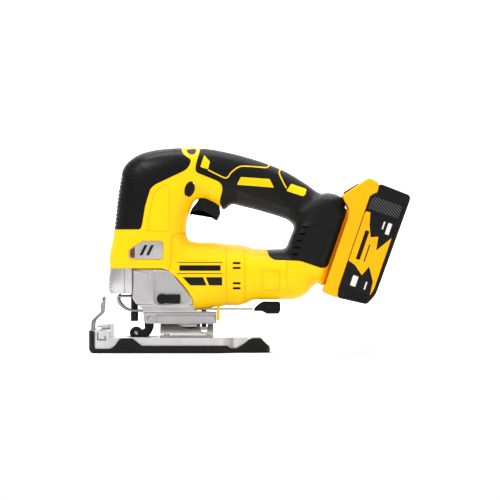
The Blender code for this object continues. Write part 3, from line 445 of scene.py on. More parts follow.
class Finish:
    """Principled material whose sockets are fed by name."""

    def __init__(self, name, **fixed):
        self.material = bpy.data.materials.new(name)
        self.material.use_nodes = True
        self.tree = self.material.node_tree
        self.shader = self.tree.nodes["Principled BSDF"]
        self.put(self.shader, {key.replace("_", " "): given for key, given in fixed.items()})

    def put(self, node, inputs):
        """Give inputs constants or links; a colour is three numbers."""
        for key, given in inputs.items():
            socket = node.inputs[key]
            if isinstance(given, Value):
                self.tree.links.new(given.socket, socket)
            elif isinstance(given, tuple) and len(socket.default_value) == 4:
                socket.default_value = (*given, 1.0)
            else:
                socket.default_value = given

    def node(self, kind, settings=None, inputs=None, output=0):
        """Any node: its type, then its settings, then its inputs."""
        made = self.tree.nodes.new(kind)
        for key, given in (settings or {}).items():
            setattr(made, key, given)
        self.put(made, inputs or {})
        return Value(self, made.outputs[output])

    def feed(self, **inputs):
        self.put(self.shader, {key.replace("_", " "): given for key, given in inputs.items()})
        return self.material

    def place(self):
        return self.node("ShaderNodeTexCoord", output="Object")

    def axis(self, name):
        return self.node("ShaderNodeSeparateXYZ", None, {"Vector": self.place()}, output=name)

    def noise(self, scale, detail=2.0, roughness=0.5):
        return self.node("ShaderNodeTexNoise", None,
                         {"Vector": self.place(), "Scale": scale, "Detail": detail, "Roughness": roughness})

    def cells(self, scale, feature="F1"):
        return self.node("ShaderNodeTexVoronoi", {"feature": feature},
                         {"Vector": self.place(), "Scale": scale})

    def blend(self, factor, first, second):
        return self.node("ShaderNodeMix", {"data_type": "RGBA"}, {0: factor, 6: first, 7: second}, output=2)

    def relief(self, height, distance, strength=1.0, edge=0.35):
        """Bump from a height, on a normal that rounds every edge by a radius in millimetres."""
        rounded = self.node("ShaderNodeBevel", {"samples": 4}, {"Radius": edge * MM})
        return self.node("ShaderNodeBump", None, {"Height": height, "Distance": distance * MM,
                                                  "Strength": strength, "Normal": rounded})


RUBBER, RUBBER_SHADE = (0.0052, 0.0052, 0.0054), (0.0038, 0.0038, 0.004)


def moulded(name, colour, shade, roughness, grain=900, depth=0.05, edge=0.4, sheen=0.2):
    """Moulded plastic: eroded texture in the surface, tone and gloss that wander slightly."""
    look = Finish(name, Specular_IOR_Level=sheen)
    wander = look.noise(28.0, 3.0)
    spark = look.cells(grain) * 0.6 + look.noise(grain * 0.9, 2.0) * 0.4
    gloss = (wander - 0.5) * 0.12 + roughness
    return look.feed(Base_Color=look.blend(wander.ramp(0.35, 0.75), colour, shade), Roughness=gloss,
                     Normal=look.relief(spark, depth, 0.6, edge))


def metal(name, colour, shade, roughness, grain, depth, metallic=1.0, edge=0.35):
    """Bare or cast metal: grain in the surface and patches of slightly different tone."""
    look = Finish(name)
    wander = look.noise(60.0, 4.0)
    grit = look.noise(grain, 3.0, 0.6)
    gloss = (wander - 0.5) * 0.16 + roughness
    return look.feed(Base_Color=look.blend(wander.ramp(0.3, 0.7), colour, shade), Roughness=gloss,
                     Metallic=metallic, Normal=look.relief(grit, depth, 0.7, edge))


def knurled_rubber():
    """Grip rubber with a band of small scales along the lower flank of the handle; the crests of the scales
    carry a painted highlight, a lighter base colour.
    """
    look = Finish("grip_rubber_scaled", Specular_IOR_Level=0.14)
    x, z = look.axis("X"), look.axis("Z")
    band = z + x * 0.34
    inside = band.ramp(0.1395, 0.1425) * band.ramp(0.1545, 0.1575, 1.0, 0.0)
    inside = inside * x.ramp(-0.014, -0.010) * x.ramp(0.037, 0.041, 1.0, 0.0)
    rows = (band * 2100.0).sum("SINE", band * 2100.0)
    turns = x * 1500.0
    scales = rows * turns.sum("SINE", turns)
    wander = look.noise(30.0, 3.0)
    spark = look.noise(1600.0, 2.0)
    height = scales.sum("MULTIPLY", scales, inside) * 3.0 + spark * 0.5
    gloss = (wander - 0.5) * 0.12 + 0.4
    # painted highlight: the base colour is mixed lighter on the crests of the scales inside the band
    tone = look.blend(scales * scales * inside * 0.9, RUBBER, (0.075, 0.075, 0.077))
    return look.feed(Base_Color=tone, Roughness=gloss, Normal=look.relief(height, 0.26, 0.9, 0.5))


def laminated():
    """Stacked sheets of the motor core, seen as fine lines along the shaft."""
    look = Finish("motor_core")
    x = look.axis("X") * 9000.0
    lines = x.sum("SINE", x)
    wander = look.noise(90.0, 3.0)
    tone = look.blend(wander.ramp(0.35, 0.7), (0.62, 0.27, 0.12), (0.42, 0.2, 0.1))
    return look.feed(Base_Color=tone, Metallic=0.9, Roughness=wander * 0.2 + 0.3,
                     Normal=look.relief(lines, 0.05, 0.5, 0.2))


FINISHES = {
    "yellow": moulded("yellow_plastic", (0.97, 0.57, 0.001), (0.94, 0.535, 0.001), 0.4, sheen=0.16),
    "pack_yellow": moulded("battery_yellow", (0.94, 0.42, 0.001), (0.91, 0.395, 0.001), 0.42, sheen=0.14),
    "rubber": moulded("grip_rubber", RUBBER, RUBBER_SHADE, 0.36, 1500, 0.04, 0.6, sheen=0.14),
    "scaled": knurled_rubber(),
    "black": moulded("black_plastic", (0.0065, 0.0065, 0.007), (0.0048, 0.0048, 0.005), 0.34, 1300, 0.04, 0.5,
                     sheen=0.16),
    "cast": metal("cast_aluminium", (0.54, 0.53, 0.535), (0.48, 0.475, 0.48), 0.34, 1500.0, 0.06, 0.85, 0.6),
    "plate": metal("shoe_aluminium", (0.62, 0.62, 0.625), (0.56, 0.56, 0.565), 0.34, 1100.0, 0.03, 0.85),
    "black_steel": metal("black_steel", (0.012, 0.012, 0.013), (0.008, 0.008, 0.009), 0.42, 1800.0, 0.04,
                         0.6),
    "steel": metal("steel", (0.48, 0.475, 0.47), (0.4, 0.395, 0.39), 0.34, 1700.0, 0.03),
    "chrome": metal("chrome_wire", (0.36, 0.36, 0.365), (0.3, 0.3, 0.305), 0.22, 900.0, 0.01),
    "bronze": metal("bronze", (0.6, 0.36, 0.13), (0.48, 0.27, 0.09), 0.36, 1900.0, 0.05),
    "core": laminated(),
    "badge": metal("badge_metal", (0.52, 0.51, 0.495), (0.46, 0.45, 0.435), 0.38, 1400.0, 0.02, 0.8),
    # painted shade: a dark red-brown sheet stands for the shade of a recess at the front of the badge
    "shade_patch": moulded("badge_painted_shade", (0.16, 0.045, 0.03), (0.1, 0.028, 0.02), 0.25, 1500, 0.01),
    "hatch": moulded("hatch_print", (0.085, 0.085, 0.087), (0.07, 0.07, 0.072), 0.3, 900, 0.01),
    "print": moulded("label_print", (0.75, 0.74, 0.72), (0.7, 0.69, 0.67), 0.4, 900, 0.01),
    "board": moulded("circuit_board", (0.02, 0.13, 0.05), (0.015, 0.1, 0.04), 0.4, 600, 0.04),
    "cell": moulded("cell_can", (0.05, 0.16, 0.38), (0.04, 0.12, 0.3), 0.3, 700, 0.02),
    "lens": moulded("lamp_lens", (0.82, 0.85, 0.88), (0.75, 0.79, 0.83), 0.12, 700, 0.02),
}


# ---- housing and grips

# Screws of the right half: x, z and the y of the seat under the head
SCREWS = [(-127.5, 97, 15.5), (-125.5, 150, 13.5), (-73, 168, 18.5), (7, 168, 12.5), (70, 147, 17.0),
          (37, 61.5, 16.0)]
LOCK_CENTRE = (-59.5, 161.9)
LOCK_LEAN = math.radians(16)
DIAL_CENTRE = (-58.0, 195.2)
LEVER_SLOT = (-56, -8, 40.2), (-28, 40, 45.2)
BARREL_VENTS = [(-12.7, 88.5), (-12.7, 83.7), (-12.7, 68.6), (-12.7, 63.6)]
BADGE = [(-105.6, 110), (-86.8, 110), (-85.8, 108.2), (-86.2, 93.6), (-88, 92.4), (-117.7, 92.8),
         (-119.2, 94.8), (-119.2, 100.3), (-117.7, 102.7)]
FOOT_VENTS = [(55.0, 124.0), (52.5, 117.3), (50.0, 110.5), (47.5, 103.8), (45.0, 97.0)]
BARREL_VENT, FOOT_VENT = (7.7, 2.2), (6.0, 1.8)
GRIP_CORNER, GRIP_REST = 2.5, 0.25
POST_RADIUS, BORE_RADIUS = 4.4, 3.7


def ellipse(centre, radii, lean=0.0, steps=48):
    """Points centre + a cos t along the lean and b sin t across it."""
    t = np.linspace(0, 2 * math.pi, steps, endpoint=False)
    a, b = radii[0] * np.cos(t), radii[1] * np.sin(t)
    x = centre[0] + a * math.cos(lean) + b * math.sin(lean)
    z = centre[1] - a * math.sin(lean) + b * math.cos(lean)
    return np.stack([x, z], 1)


def round_about(centre, radius, count):
    """Places at equal turns round a centre."""
    turn = np.linspace(0, 2 * math.pi, count, endpoint=False)
    return [(centre[0] + radius * math.cos(a), centre[1] + radius * math.sin(a)) for a in turn]


def band(line, width):
    """Outline of a strip along an open line, half the width to each side of it."""
    p = np.asarray(line, float)
    along = np.gradient(p, axis=0)
    along /= np.linalg.norm(along, axis=1, keepdims=True)
    side = np.stack([-along[:, 1], along[:, 0]], 1) * width / 2
    return np.concatenate([p + side, (p - side)[::-1]])


def through(outline, far=CUT_REACH, corner=0.0):
    """Cutter that goes from beyond the left side to far, and right through the body if not told."""
    return slab(outline, -CUT_REACH, far, "Y", 0.0, corner)


def together(pieces):
    """One mesh of several pieces that don't touch."""
    shape = bmesh.new()
    for piece in pieces:
        shape.from_mesh(piece.data)
        bpy.data.objects.remove(piece, do_unlink=True)
    mesh = bpy.data.meshes.new("together")
    shape.to_mesh(mesh)
    shape.free()
    return in_scene(bpy.data.objects.new("together", mesh))


def slots(places, size, far=CUT_REACH):
    """Cutters for a row of vent slots with rounded ends."""
    a, b = size[0] / 2, size[1] / 2
    return together([through(box_outline(x - a, z - b, x + a, z + b), far, b * 0.9) for x, z in places])


def in_skin(outlines, depth, corner=0.0):
    """Cutter for grooves of a depth below the body's own surface, on both sides."""
    return cut(together([through(line, corner=corner) for line in outlines]), inner_body(depth))


def inner_body(inset):
    """The body's skin at a level below its surface, on a coarser grid."""
    return body_surface(inset, around=64, per_section=8)


def both_halves(whole, title, finish):
    """Part a piece of the body down the middle and settle its left and right halves."""
    for side, word in SIDES:
        near, far = on_side(side, GAP / 2, 90.0)
        half = keep_inside(copy_of(whole), plain_box((-200, near, -40), (260, far, 300)))
        settle(half, "look_" + title + word, "housing", finish, title + word)
    bpy.data.objects.remove(whole, do_unlink=True)


def sloped_box(low, high):
    """Box laid out in the battery's frame and turned with it."""
    return tilted(plain_box(low, high))


def body_openings():
    """Everything that opens the body: battery channel, trigger, lock, dial, lever and lamp."""
    x, z = DIAL_CENTRE
    return [sloped_box((42.6, -20.4, 91.4), (60, 20.4, 190)),
            sloped_box((38.0, -20.3, 94.7), (43.6, 20.3, 164.3)),
            plain_box((-61.2, -7.4, 126), (-28.0, 7.4, 165.5)),
            through(ellipse(LOCK_CENTRE, (4.9, 7.9), LOCK_LEAN)),
            plain_box((x - 9.4, -4.4, z - 12), (x + 9.4, 4.4, 215)),
            plain_box(*LEVER_SLOT),
            plain_box((-137, -6.5, 80), (-124, 6.5, 90))]


def screw_bores(first=0, last=6):
    """Bores for the heads of some of the housing screws, open to the right."""
    return [lathe([(0, 0), (0, BORE_RADIUS), (80, BORE_RADIUS), (80, 0)], (x, y, z), (0, 1, 0), 32)
            for x, z, y in SCREWS[first:last]]


def build_housing():
    cavity = body_surface(WALL, around=64, per_section=6)
    cut(cavity, *[rod((x, -60, z), (x, 60, z), POST_RADIUS) for x, z, _ in SCREWS])
    shell = cut(body_surface(), cavity)
    line = [(-160, PARTING_Z)] + PARTING[:-1] + [PARTING[-1], (PARTING[-1][0], 10), (-160, 10)]
    cut(shell, through(line))
    for outline in (FRONT_GRIP, HANDLE_GRIP):
        cut(shell, cut(through(outline, corner=GRIP_CORNER), inner_body(SKIN + GAP)))
    cut(shell, *body_openings(), *screw_bores(), slots(BARREL_VENTS, BARREL_VENT),
        slots(FOOT_VENTS, FOOT_VENT, 0.0))
    panel = smooth_path([(-63.8, 117.9), (-70.0, 117.9), (-74.7, 116.4), (-77.1, 112.0), (-77.7, 100.0),
                         (-77.9, 88.0), (-80.7, 81.5)])
    seam = [(-22.9, 46.0), (-22.9, 80.0), (-22.9, 108.0)]
    cut(shell, in_skin([band(panel, 0.9)], 0.6), in_skin([band(seam, 0.9)], 0.6))
    column = [(-101.4, 121.1), (-97.0, 147.8), (-92.5, 160.1), (-80.2, 164.6), (-79.8, 127.7), (-80.7, 119.9)]
    collar = [(-5.4, 44.0), (-4.6, 60.0), (-4.4, 78.0), (-4.8, 96.0), (-5.6, 109.0)]
    pad = box_outline(12.4, 61.5, 30.3, 81.6)
    root = [(40.0, 98.0), (37.2, 88.0), (36.4, 76.0), (38.5, 64.0), (44.0, 53.0)]
    cut(shell, in_skin([band(smooth_path(column + column[:1], 5), 0.6)], 0.35),
        in_skin([band(smooth_path(collar), 0.8)], 0.5), in_skin([band(smooth_path(root), 0.7)], 0.35),
        cut(in_skin([pad], 0.35, 2.0), in_skin([moved_in(pad, 0.8)], 0.9, 1.6)))
    cut(shell, in_skin([moved_in(BADGE, -0.5)], 0.4, 1.2))
    cut(shell, in_skin([box_outline(-54, 108, -42, 110.6)], 0.5, 0.8))
    lip = block((-32.6, -12, 31), (-29.6, -1, 50), 0.6)
    join(shell, cut(lip, plain_box(*LEVER_SLOT)))
    both_halves(shell, "housing_", "yellow")


def build_grips():
    front = keep_inside(body_surface(), through(moved_in(FRONT_GRIP, GRIP_REST), corner=GRIP_CORNER))
    cut(front, inner_body(SKIN))
    ridges = [box_outline(-150, z, -111.0, z + 1.3) for z in np.arange(126.0, 178.0, 4.0)]
    cut(front, in_skin(ridges, 0.8))
    seams = [band([(-118.5, 196.0), (-107.5, 183.5), (-98.0, 174.0)], 0.7),
             band([(-127.0, 184.9), (-115.0, 173.8), (-105.0, 164.0)], 0.7),
             band([(-74.9, 205.0), (-72.0, 190.0), (-69.7, 179.0)], 0.7)]
    cut(front, in_skin(seams, 0.4), *screw_bores(1, 3))
    both_halves(front, "front_grip_", "rubber")
    handle = keep_inside(body_surface(), through(moved_in(HANDLE_GRIP, GRIP_REST), corner=GRIP_CORNER))
    cut(handle, inner_body(SKIN))
    cut(handle, *body_openings(), *screw_bores(3, 5), slots(FOOT_VENTS, FOOT_VENT, 0.0),
        cut(slots(FOOT_VENTS, FOOT_VENT), inner_body(1.3)))
    pad = [(76.4, 116), (79.5, 121), (85.6, 120), (85.0, 112.0), (77.5, 92.0), (74.5, 87.0), (68.3, 85.4),
           (67.2, 88.4)]
    cut(handle, cut(in_skin([pad], 0.4, 1.5), in_skin([moved_in(pad, 0.8)], 1.2, 1.2)))
    both_halves(handle, "handle_grip_", "scaled")


ACCENTS = [
    [(-45.1, 196.1), (-39.3, 189.4), (-41.2, 181.7), (-48.9, 184.1)],
    [(-8.7, 174.1), (20, 172.1), (24.3, 163.5), (-12.5, 166.4)],
    [(41.5, 167.4), (56.8, 162.1), (55.4, 156.4), (53, 154.9), (36.7, 160.2)],
]
ACCENT_LINES = [
    [(-41.2, 181.2), (-33, 177.0), (-23.1, 173.1), (-18.3, 178.4), (-12.5, 183.1), (-6.8, 184.9), (5, 184.4),
     (16.2, 183.6), (19, 185.1), (20.5, 187.5)],
    [(31.5, 182.7), (29.6, 178.4), (33.0, 170.0), (36.7, 163.1)],
]


def lay_on_body(name, outlines, rise, sink, finish, *gaps):
    """Thin pieces between two levels of the body's surface, from sink below it to rise above it."""
    piece = keep_inside(together(outlines), body_surface(-rise))
    cut(piece, inner_body(sink), *gaps)
    settle(piece, name, "housing", finish)


def build_accents():
    outlines = ACCENTS + [band(smooth_path(line, 4), 1.3) for line in ACCENT_LINES]
    strips = [through(line, corner=1.0 if len(line) < 8 else 0.0) for line in outlines]
    lay_on_body("look_accents", strips, 0.3, 0.2, "yellow", plain_box((-80, -6, 120), (70, 6, 220)),
                *screw_bores())


def build_badges():
    # The dark red-brown patch at the front of the badge is painted shade of a recess: a sheet set a little
    # below the badge plate.
    shade_patch = [(-117.6, 102.0), (-118.4, 100.2), (-118.4, 95.0), (-117.4, 93.8), (-113.6, 93.7),
              (-113.6, 104.6)]
    plate = keep_inside(body_surface(-0.9), through(BADGE, corner=1.2))
    cut(plate, inner_body(-0.3), in_skin([shade_patch], -0.5))
    both_halves(plate, "badge_", "badge")
    marks = [[(x, 96.2), (x + 3.0, 96.2), (x + 8.0, 106.4), (x + 5.0, 106.4)] for x in (-109.0, -102.5)]
    lay_on_body("look_badge_marks", [through(line) for line in marks], 1.0, -0.8, "black",
                plain_box((-130, -4, 80), (-80, 4, 120)))
    shade_sheet = keep_inside(body_surface(-0.8), through(shade_patch, corner=0.8))
    cut(shade_sheet, inner_body(-0.3), plain_box((-130, -4, 80), (-100, 4, 120)))
    settle(shade_sheet, "look_badge_painted_shade", "housing", "shade_patch")


def build_prints():
    """Plain dark bars where the tool carries its lettering, and a black sheet by the speed dial that paints
    the dark recess round it: partly the dial's own black, partly painted shade.
    """
    bars = [box_outline(-71.7, 88.9, -26.7, 89.6), box_outline(-71.7, 77.7, -26.7, 78.4),
            box_outline(-69.5, 80.9, -28.6, 86.4),
            [(-66.4, 74.6), (-46.0, 74.6), (-42.4, 66.4), (-58.5, 66.4)],
            [(-43.4, 74.6), (-27.1, 74.6), (-27.1, 66.4), (-39.8, 66.4)]]
    lay_on_body("look_prints", [through(line, corner=0.4) for line in bars], 0.1, 0.1, "black",
                plain_box((-80, -15, 60), (0, 15, 105)))
    # painted shade: a flat black sheet on the neck's sides where the recess round the speed dial lies dark,
    # partly the dial's own black
    well = [(-63.0, 201.6), (-61.5, 198.2), (-58.5, 196.6), (-55.0, 196.8), (-53.4, 199.0), (-53.4, 202.6)]
    lay_on_body("look_dial_recess_shade", [through(well, corner=0.8)], 0.15, 0.4, "black",
                plain_box((-80, -4.8, 180), (-40, 4.8, 215)))


# ---- casting, lever, wires

def build_casting():
    outline = [(NOSE_X, PARTING_Z - GAP), (NOSE_X, 54.2), (-113.2, 48.8), (-106.2, 42.6), (-105.8, 31.2),
               (-103.2, 28.0), (PARTING[-1][0], 28.0)]
    outline += [(x, z - GAP) for x, z in reversed(PARTING)]
    steps = [(6.5, 20), (6.5, 39), (17.5, 39), (17.5, 47.5), (CASE_HALF, 47.5), (CASE_HALF, 95)]
    section = [(-y, z) for y, z in reversed(steps)] + steps
    case = slab(outline, -CASE_HALF, CASE_HALF, "Y", 1.6, 1.0)
    keep_inside(case, slab(section, -150, 20, "X", 0.0, 1.6))
    pad = box_outline(-115.1, 58.7, -100.2, 79.4)
    rim = [(-96.9, 81.6), (-86.0, 82.2), (-78.5, 81.0), (-66.0, 64.2), (-58.4, 51.8), (-58.6, 47.0),
           (-62.2, 43.6), (-89.8, 43.6), (-96.6, 49.2)]
    rail = box_outline(-93.0, 28.4, -34.0, 36.5)
    recess = [(-95.3, 79.7), (-86.8, 80.3), (-79.5, 79.1), (-67.4, 63.3), (-60.1, 51.2), (-60.1, 48.9),
              (-89.2, 47.0), (-94.7, 49)]
    for side in (-1, 1):
        join(case, slab(pad, *on_side(side, CASE_HALF - 1.0, CASE_HALF + 0.8), "Y", 0.6, 3.0))
    join(case, slab(rim, -26.8, -25.0, "Y", 0.6, 3.0))
    join(case, *[slab(rail, *on_side(side, 6.0, 7.1), "Y", 0.4, 1.5) for side in (-1, 1)])
    (orbit_x, orbit_z), (roller_x, roller_z) = ORBIT_PIVOT, ROLLER_PIVOT
    cut(case, plain_box((-111.5, -21.5, 57.5), (-58, 21.5, 95)),
        lathe([(0, 0), (0, 5.6), (80, 5.6), (80, 0)], (PLUNGER_X, 0, 20), (0, 0, 1)),
        slab(recess, -40, -22.4, "Y", 0.0, 2.5),
        rod((orbit_x, -30, orbit_z), (orbit_x, -12, orbit_z), 3.4),
        plain_box((-108, -2.9, 20), (-93.3, 2.9, 41.5)),
        rod((roller_x, -8, roller_z), (roller_x, 8, roller_z), 2.4),
        rod((BEVEL_BOLT_X, 0, 20), (BEVEL_BOLT_X, 0, 60), 2.8))
    settle(case, "look_gear_housing", "housing", "cast", "gear_housing")


def build_nose_lever():
    reach = plain_box((-150, -40, 58.0), (NOSE_X - GAP, 40, PARTING_Z - GAP))
    shell = keep_inside(body_surface(), reach)
    cut(shell, inner_body(2.6))
    ribs = [box_outline(-150, z, -136.0, z + 0.9) for z in np.arange(61.5, 81, 3.0)]
    cut(shell, in_skin([box_outline(-124.2, 55, -123.6, 90)], 0.9), in_skin(ribs, 0.9))
    settle(shell, "look_release_lever", "release_lever", "cast", "blade_release_lever")


def mirrored_loop(leg):
    return leg + [(x, -y, z) for x, y, z in reversed(leg)]


def build_wires():
    leg = [(-106.5, 9, 40.9), (-112, 9, 40.9), (-120.1, 12, 41.8), (-126, 16, 45), (-129.6, 18.5, 49),
           (-130.8, 20, 52.4), (-130.2, 19.4, 55.2), (-129.4, 15, 56.3)]
    guard = join(tube(mirrored_loop(leg), GUARD_RADIUS),
                 *[rod((-116.9, y, 55.4), (-129.6, y, 55.4), GUARD_RADIUS) for y in (-19.2, 19.2)])
    settle(guard, "look_finger_guard", "housing", "chrome", "finger_guard")
    loop = [(-156.3, 22, 22.4), (-155.6, 22, 30.4), (-152.5, 22, 34.3), (-147.9, 22, 38.2), (-146.5, 22, 41),
            (-146.3, 21.5, 47.3), (-145.4, 18.5, 53.0), (-145, 14, 54.6)]
    wire = tube(mirrored_loop(loop), LOOP_RADIUS)
    settle(wire, "look_shoe_wire", "shoe", "chrome", "shoe_guard_wire")


# ---- shoe

def shoe_outline(inset=0.0):
    """Shoe seen from above; it narrows behind the bevel bolt."""
    half = SHOE_HALF - inset
    side = [(SHOE_REAR - inset, 19 - inset / 2), (SHOE_REAR - 3 - inset * 0.7, 25 - inset * 0.7),
            (12, 27.5 - inset), (-8 - inset / 3, 27.5 - inset), (-14 - inset / 2, 29.5 - inset),
            (-25 - inset / 2, half - 1.5), (-31, half), (-152, half),
            (-157 + inset * 0.7, SHOE_HALF - 2.5 - inset * 0.7),
            (SHOE_FRONT + inset, SHOE_HALF - 7 - inset / 2)]
    return side + [(x, -y) for x, y in reversed(side)]


def shoe_slot(extra=0.0):
    narrow, wide = 8.0 + extra, 16.2 + extra
    half = [(-170, narrow), (-124 - extra, narrow), (-120 - extra, wide), (-91 + extra, wide)]
    return half + [(x, -y) for x, y in reversed(half)]


def bracket_holes(low):
    """Holes for the four screws that hold the bracket on the deck."""
    return [rod((x, y, low), (x, y, 20), 1.8, 0.0) for x in (-82, -40) for y in (-25, 25)]


def build_shoe():
    profile = [(-154.5, 0), (-157.6, 1.3), (SHOE_FRONT, 4.4), (SHOE_FRONT, 22), (-154, 22), (-153.7, 4),
               (-137.7, 4), (-133.4, 6.4), (-128.6, 13.1), (-126.8, 14.3), (-115.3, 14.3), (-112.2, 11.8),
               (-106.2, 7), (-21.4, 7), (-18.9, 4.2), (-11.7, 4.2), (0.4, 13.1), (2.9, 14.3), (11.3, 14.3),
               (15, 10), (SHOE_REAR, 5.2), (SHOE_REAR, 0)]
    cover = slab(shoe_outline(), 0, 23, "Z", 0.9, 3.0)
    keep_inside(cover, slab(profile, -60, 60, "Y", 0.0, 1.4))
    pocket = slab(shoe_outline(2.4), 3.0, 40, "Z", 0.0, 2.0)
    keep_inside(pocket, plain_box((-154.0, -60, 3.0), (-1.0, 60, 40)))
    cut(cover, pocket, slab(shoe_slot(), -5, 40, "Z", 0.0, 1.5))
    settle(cover, "look_shoe_cover", "shoe", "black", "shoe_cover")
    deck_profile = [(-153.7, 3.3), (-153.7, 21.9), (-138, 21.9), (-138, DECK_Z), (-1.3, DECK_Z), (-1.3, 3.3)]
    deck = slab(shoe_outline(2.7), 0, 40, "Z", 0.0, 2.0)
    keep_inside(deck, slab(deck_profile, -60, 60, "Y", 0.0, 1.0))
    cut(deck, slab(shoe_slot(GAP), -5, 40, "Z", 0.0, 1.5))
    for side in (-1, 1):
        for rear, front, nearer, farther in ((-84, -10, 2.5, 24), (-148, -90, 20, 36)):
            near, far = on_side(side, nearer, farther)
            cut(deck, plain_box((rear, near, 0), (front, far, DECK_Z - 4)))
        near, far = on_side(side, 13, 36)
        cut(deck, slab(box_outline(-150.5, near, -141.5, far), 20.6, 30, "Z", 0.0, 1.5))
    cut(deck, *bracket_holes(8))
    hook = [(-150.4, 19.5), (-148.9, 19.5), (-148.9, 13.7), (-143.0, 13.7), (-143.0, 16.6), (-141.5, 16.6),
            (-141.5, 12.2), (-150.4, 12.2)]
    cut(deck, slab(hook, -60, -31.0, "Y", 0.0), slab(hook, 31.0, 60, "Y", 0.0))
    join(deck, block((-137.3, -38.5, DECK_Z - 1), (-134, -29.5, 29), 0.6))
    settle(deck, "look_shoe_plate", "shoe", "plate", "shoe_plate")
    t = np.linspace(0, 1, 33)
    low = DECK_Z + GAP

    def arc(reach):
        start = math.asin((low - BEVEL_Z) / reach)
        a = start + (math.pi - 2 * start) * t
        return list(zip(reach * np.cos(a), BEVEL_Z + reach * np.sin(a)))

    bracket = slab(arc(ARCH_RADIUS) + arc(ARCH_RADIUS - ARCH_WALL)[::-1], -89, -36.2, "X", 0.3)
    for side in (-1, 1):
        near, far = on_side(side, 17.7, 29)
        join(bracket, slab(box_outline(-89, near, -36.2, far), low, low + 1.6, "Z", 0.3, 2.0))
        cut(bracket, slab(box_outline(-68, side * 24, -56, side * 40), 10, 20, "Z", 0.0, 2.5))
    cut(bracket, slab(box_outline(-49, -16.5, -42, 16.5), 17, 40, "Z", 0.0, 3.2), *bracket_holes(10))
    notch = [(-70.6, 26.9), (-66.0, 24.2), (-62.5, 23.2), (-52.4, 23.2), (-52.4, 30), (-70.6, 30)]
    cut(bracket, slab(notch, -13.5, -4.0, "Y", 0.0))
    settle(bracket, "look_shoe_bracket", "shoe", "steel", "shoe_bracket")
    ribs = [(0, 0), (0, 2.9), (0.5, 3.2), (8.3, 3.2), (8.8, 2.9), (8.8, 0)]
    knob = lathe(ribs, (-146.5, *FENCE_SCREW), (1, 0, 0), 48)
    cut(knob, together([rod((-147, y, z), (-139, y, z), 0.35, 0.0, 8)
                        for y, z in round_about(FENCE_SCREW, 3.35, 14)]))
    join(knob, rod((-151.2, *FENCE_SCREW), (-146, *FENCE_SCREW), 1.3))
    settle(knob, "look_fence_screw", "fence_screw", "steel", "fence_screw")


# ---- small moving pieces

def build_guides():
    x, z = ROLLER
    wheel = lathe([(0, 1.8), (0, 5.9), (0.6, 6.5), (2.6, 6.5), (3.0, 6.1), (3.4, 6.5), (5.4, 6.5),
                   (6.0, 5.9), (6.0, 1.8)], (x, -3.0, z), (0, 1, 0), 64)
    cut(wheel, rod((x, -8, z), (x, 8, z), 1.8, 0.0))
    settle(wheel, "look_guide_roller", "guide_roller", "black_steel", "guide_roller")
    clamp = lathe([(0, 0), (0, 3.4), (0.5, 3.9), (3.2, 3.9), (3.6, 3.5), (4.0, 3.9), (8.6, 3.9),
                   (9.3, 3.3), (9.3, 0)], (PLUNGER_X, 0, 30.4), (0, 0, 1), 48)
    cut(clamp, plain_box((-121, -0.8, 20), (-109, 0.8, 36.7)))
    settle(clamp, "look_blade_clamp", "plunger", "black_steel", "blade_clamp")


def build_levers():
    x, z = ORBIT_PIVOT
    lever = rod((x, -29.5, z), (x, -22.7, z), 5.1, 0.6, 48)
    join(lever, block((x, -28.8, z - 4.4), (x + 18.2, -22.7, z + 4.4), 1.2),
         rod((x, -23.0, z), (x, -13, z), 3.0))
    cut(lever, plain_box((x + 9.0, -30, z - 0.5), (x + 15.5, -28.3, z + 0.5)))
    settle(lever, "look_orbital_lever", "orbital_lever", "black", "orbital_lever")
    profile = [(3.5, 40.6), (4.6, 43.6), (6.2, 45.3), (9.9, 48.6), (13.6, 50.2), (29, 50.0), (30.6, 48.6),
               (30.6, 40.8), (28.6, 37.9), (17, 37.7), (12, 40.6)]
    knob = slab([(a + 0.4, b) for a, b in profile], -9, 9, "Y", 1.8, 1.2)
    ribs = [plain_box((a, -12, 38.5 if a > 16 else 42.0), (a + 0.9, -8.4, 49.0 if a > 12 else 46.0))
            for a in np.arange(9.0, 29.0, 2.6)]
    cut(knob, together(ribs))
    cut(knob, together([plain_box((a, -7, 49.7), (a + 0.9, 7, 60)) for a in np.arange(14.2, 28.0, 2.6)]))
    settle(knob, "look_bevel_knob", "bevel_lever", "black", "bevel_knob")


def build_controls():
    outline = [(-60.4, 136.1), (-56.5, 137.5), (-51.3, 139), (-46.2, 138.5), (-39.1, 134.4), (-32.5, 130.3),
               (-28.9, 137.5), (-29.6, 143), (-31, 158), (-49.5, 158), (-51.5, 150.5), (-57.5, 143)]
    settle(slab(outline, -7, 7, "Y", 2.2, 2.0, 5), "look_trigger", "trigger", "black", "trigger")
    button = slab(ellipse(LOCK_CENTRE, (4.5, 7.5), LOCK_LEAN), -23.0, 19.5, "Y", 1.2, 0.0, 5)
    settle(button, "look_lock_button", "lock_button", "black", "lock_off_button")
    x, z = DIAL_CENTRE
    rim = [(0, 0), (0, 8.4), (0.6, 9.0), (7.4, 9.0), (8.0, 8.4), (8.0, 0)]
    dial = lathe(rim, (x, -4, z), (0, 1, 0), 72)
    cut(dial, together([rod((px, -5, pz), (px, 5, pz), 0.55, 0.0, 8)
                        for px, pz in round_about((x, z), 9.2, 30)]))
    settle(dial, "look_speed_dial", "speed_dial", "black", "speed_dial")
    for number, (px, pz, seat) in enumerate(SCREWS, 1):
        y = seat + GAP
        profile = [(0, 0), (0, 1.7), (y + 9, 1.7), (y + 9, 3.4), (y + 10.8, 3.4), (y + 11.4, 2.8),
                   (y + 11.4, 0)]
        screw = lathe(profile, (px, -9, pz), (0, 1, 0), 32)
        t = np.linspace(0, 2 * math.pi, 48, endpoint=False)
        reach = 1.5 + 0.28 * np.cos(6 * t)
        star = np.stack([px + reach * np.cos(t), pz + reach * np.sin(t)], 1)
        cut(screw, slab(star, y + 1.0, y + 9, "Y", 0.0))
        settle(screw, f"look_screw_{number}", "housing", "black_steel", f"housing_screw_{number}")


# ---- battery

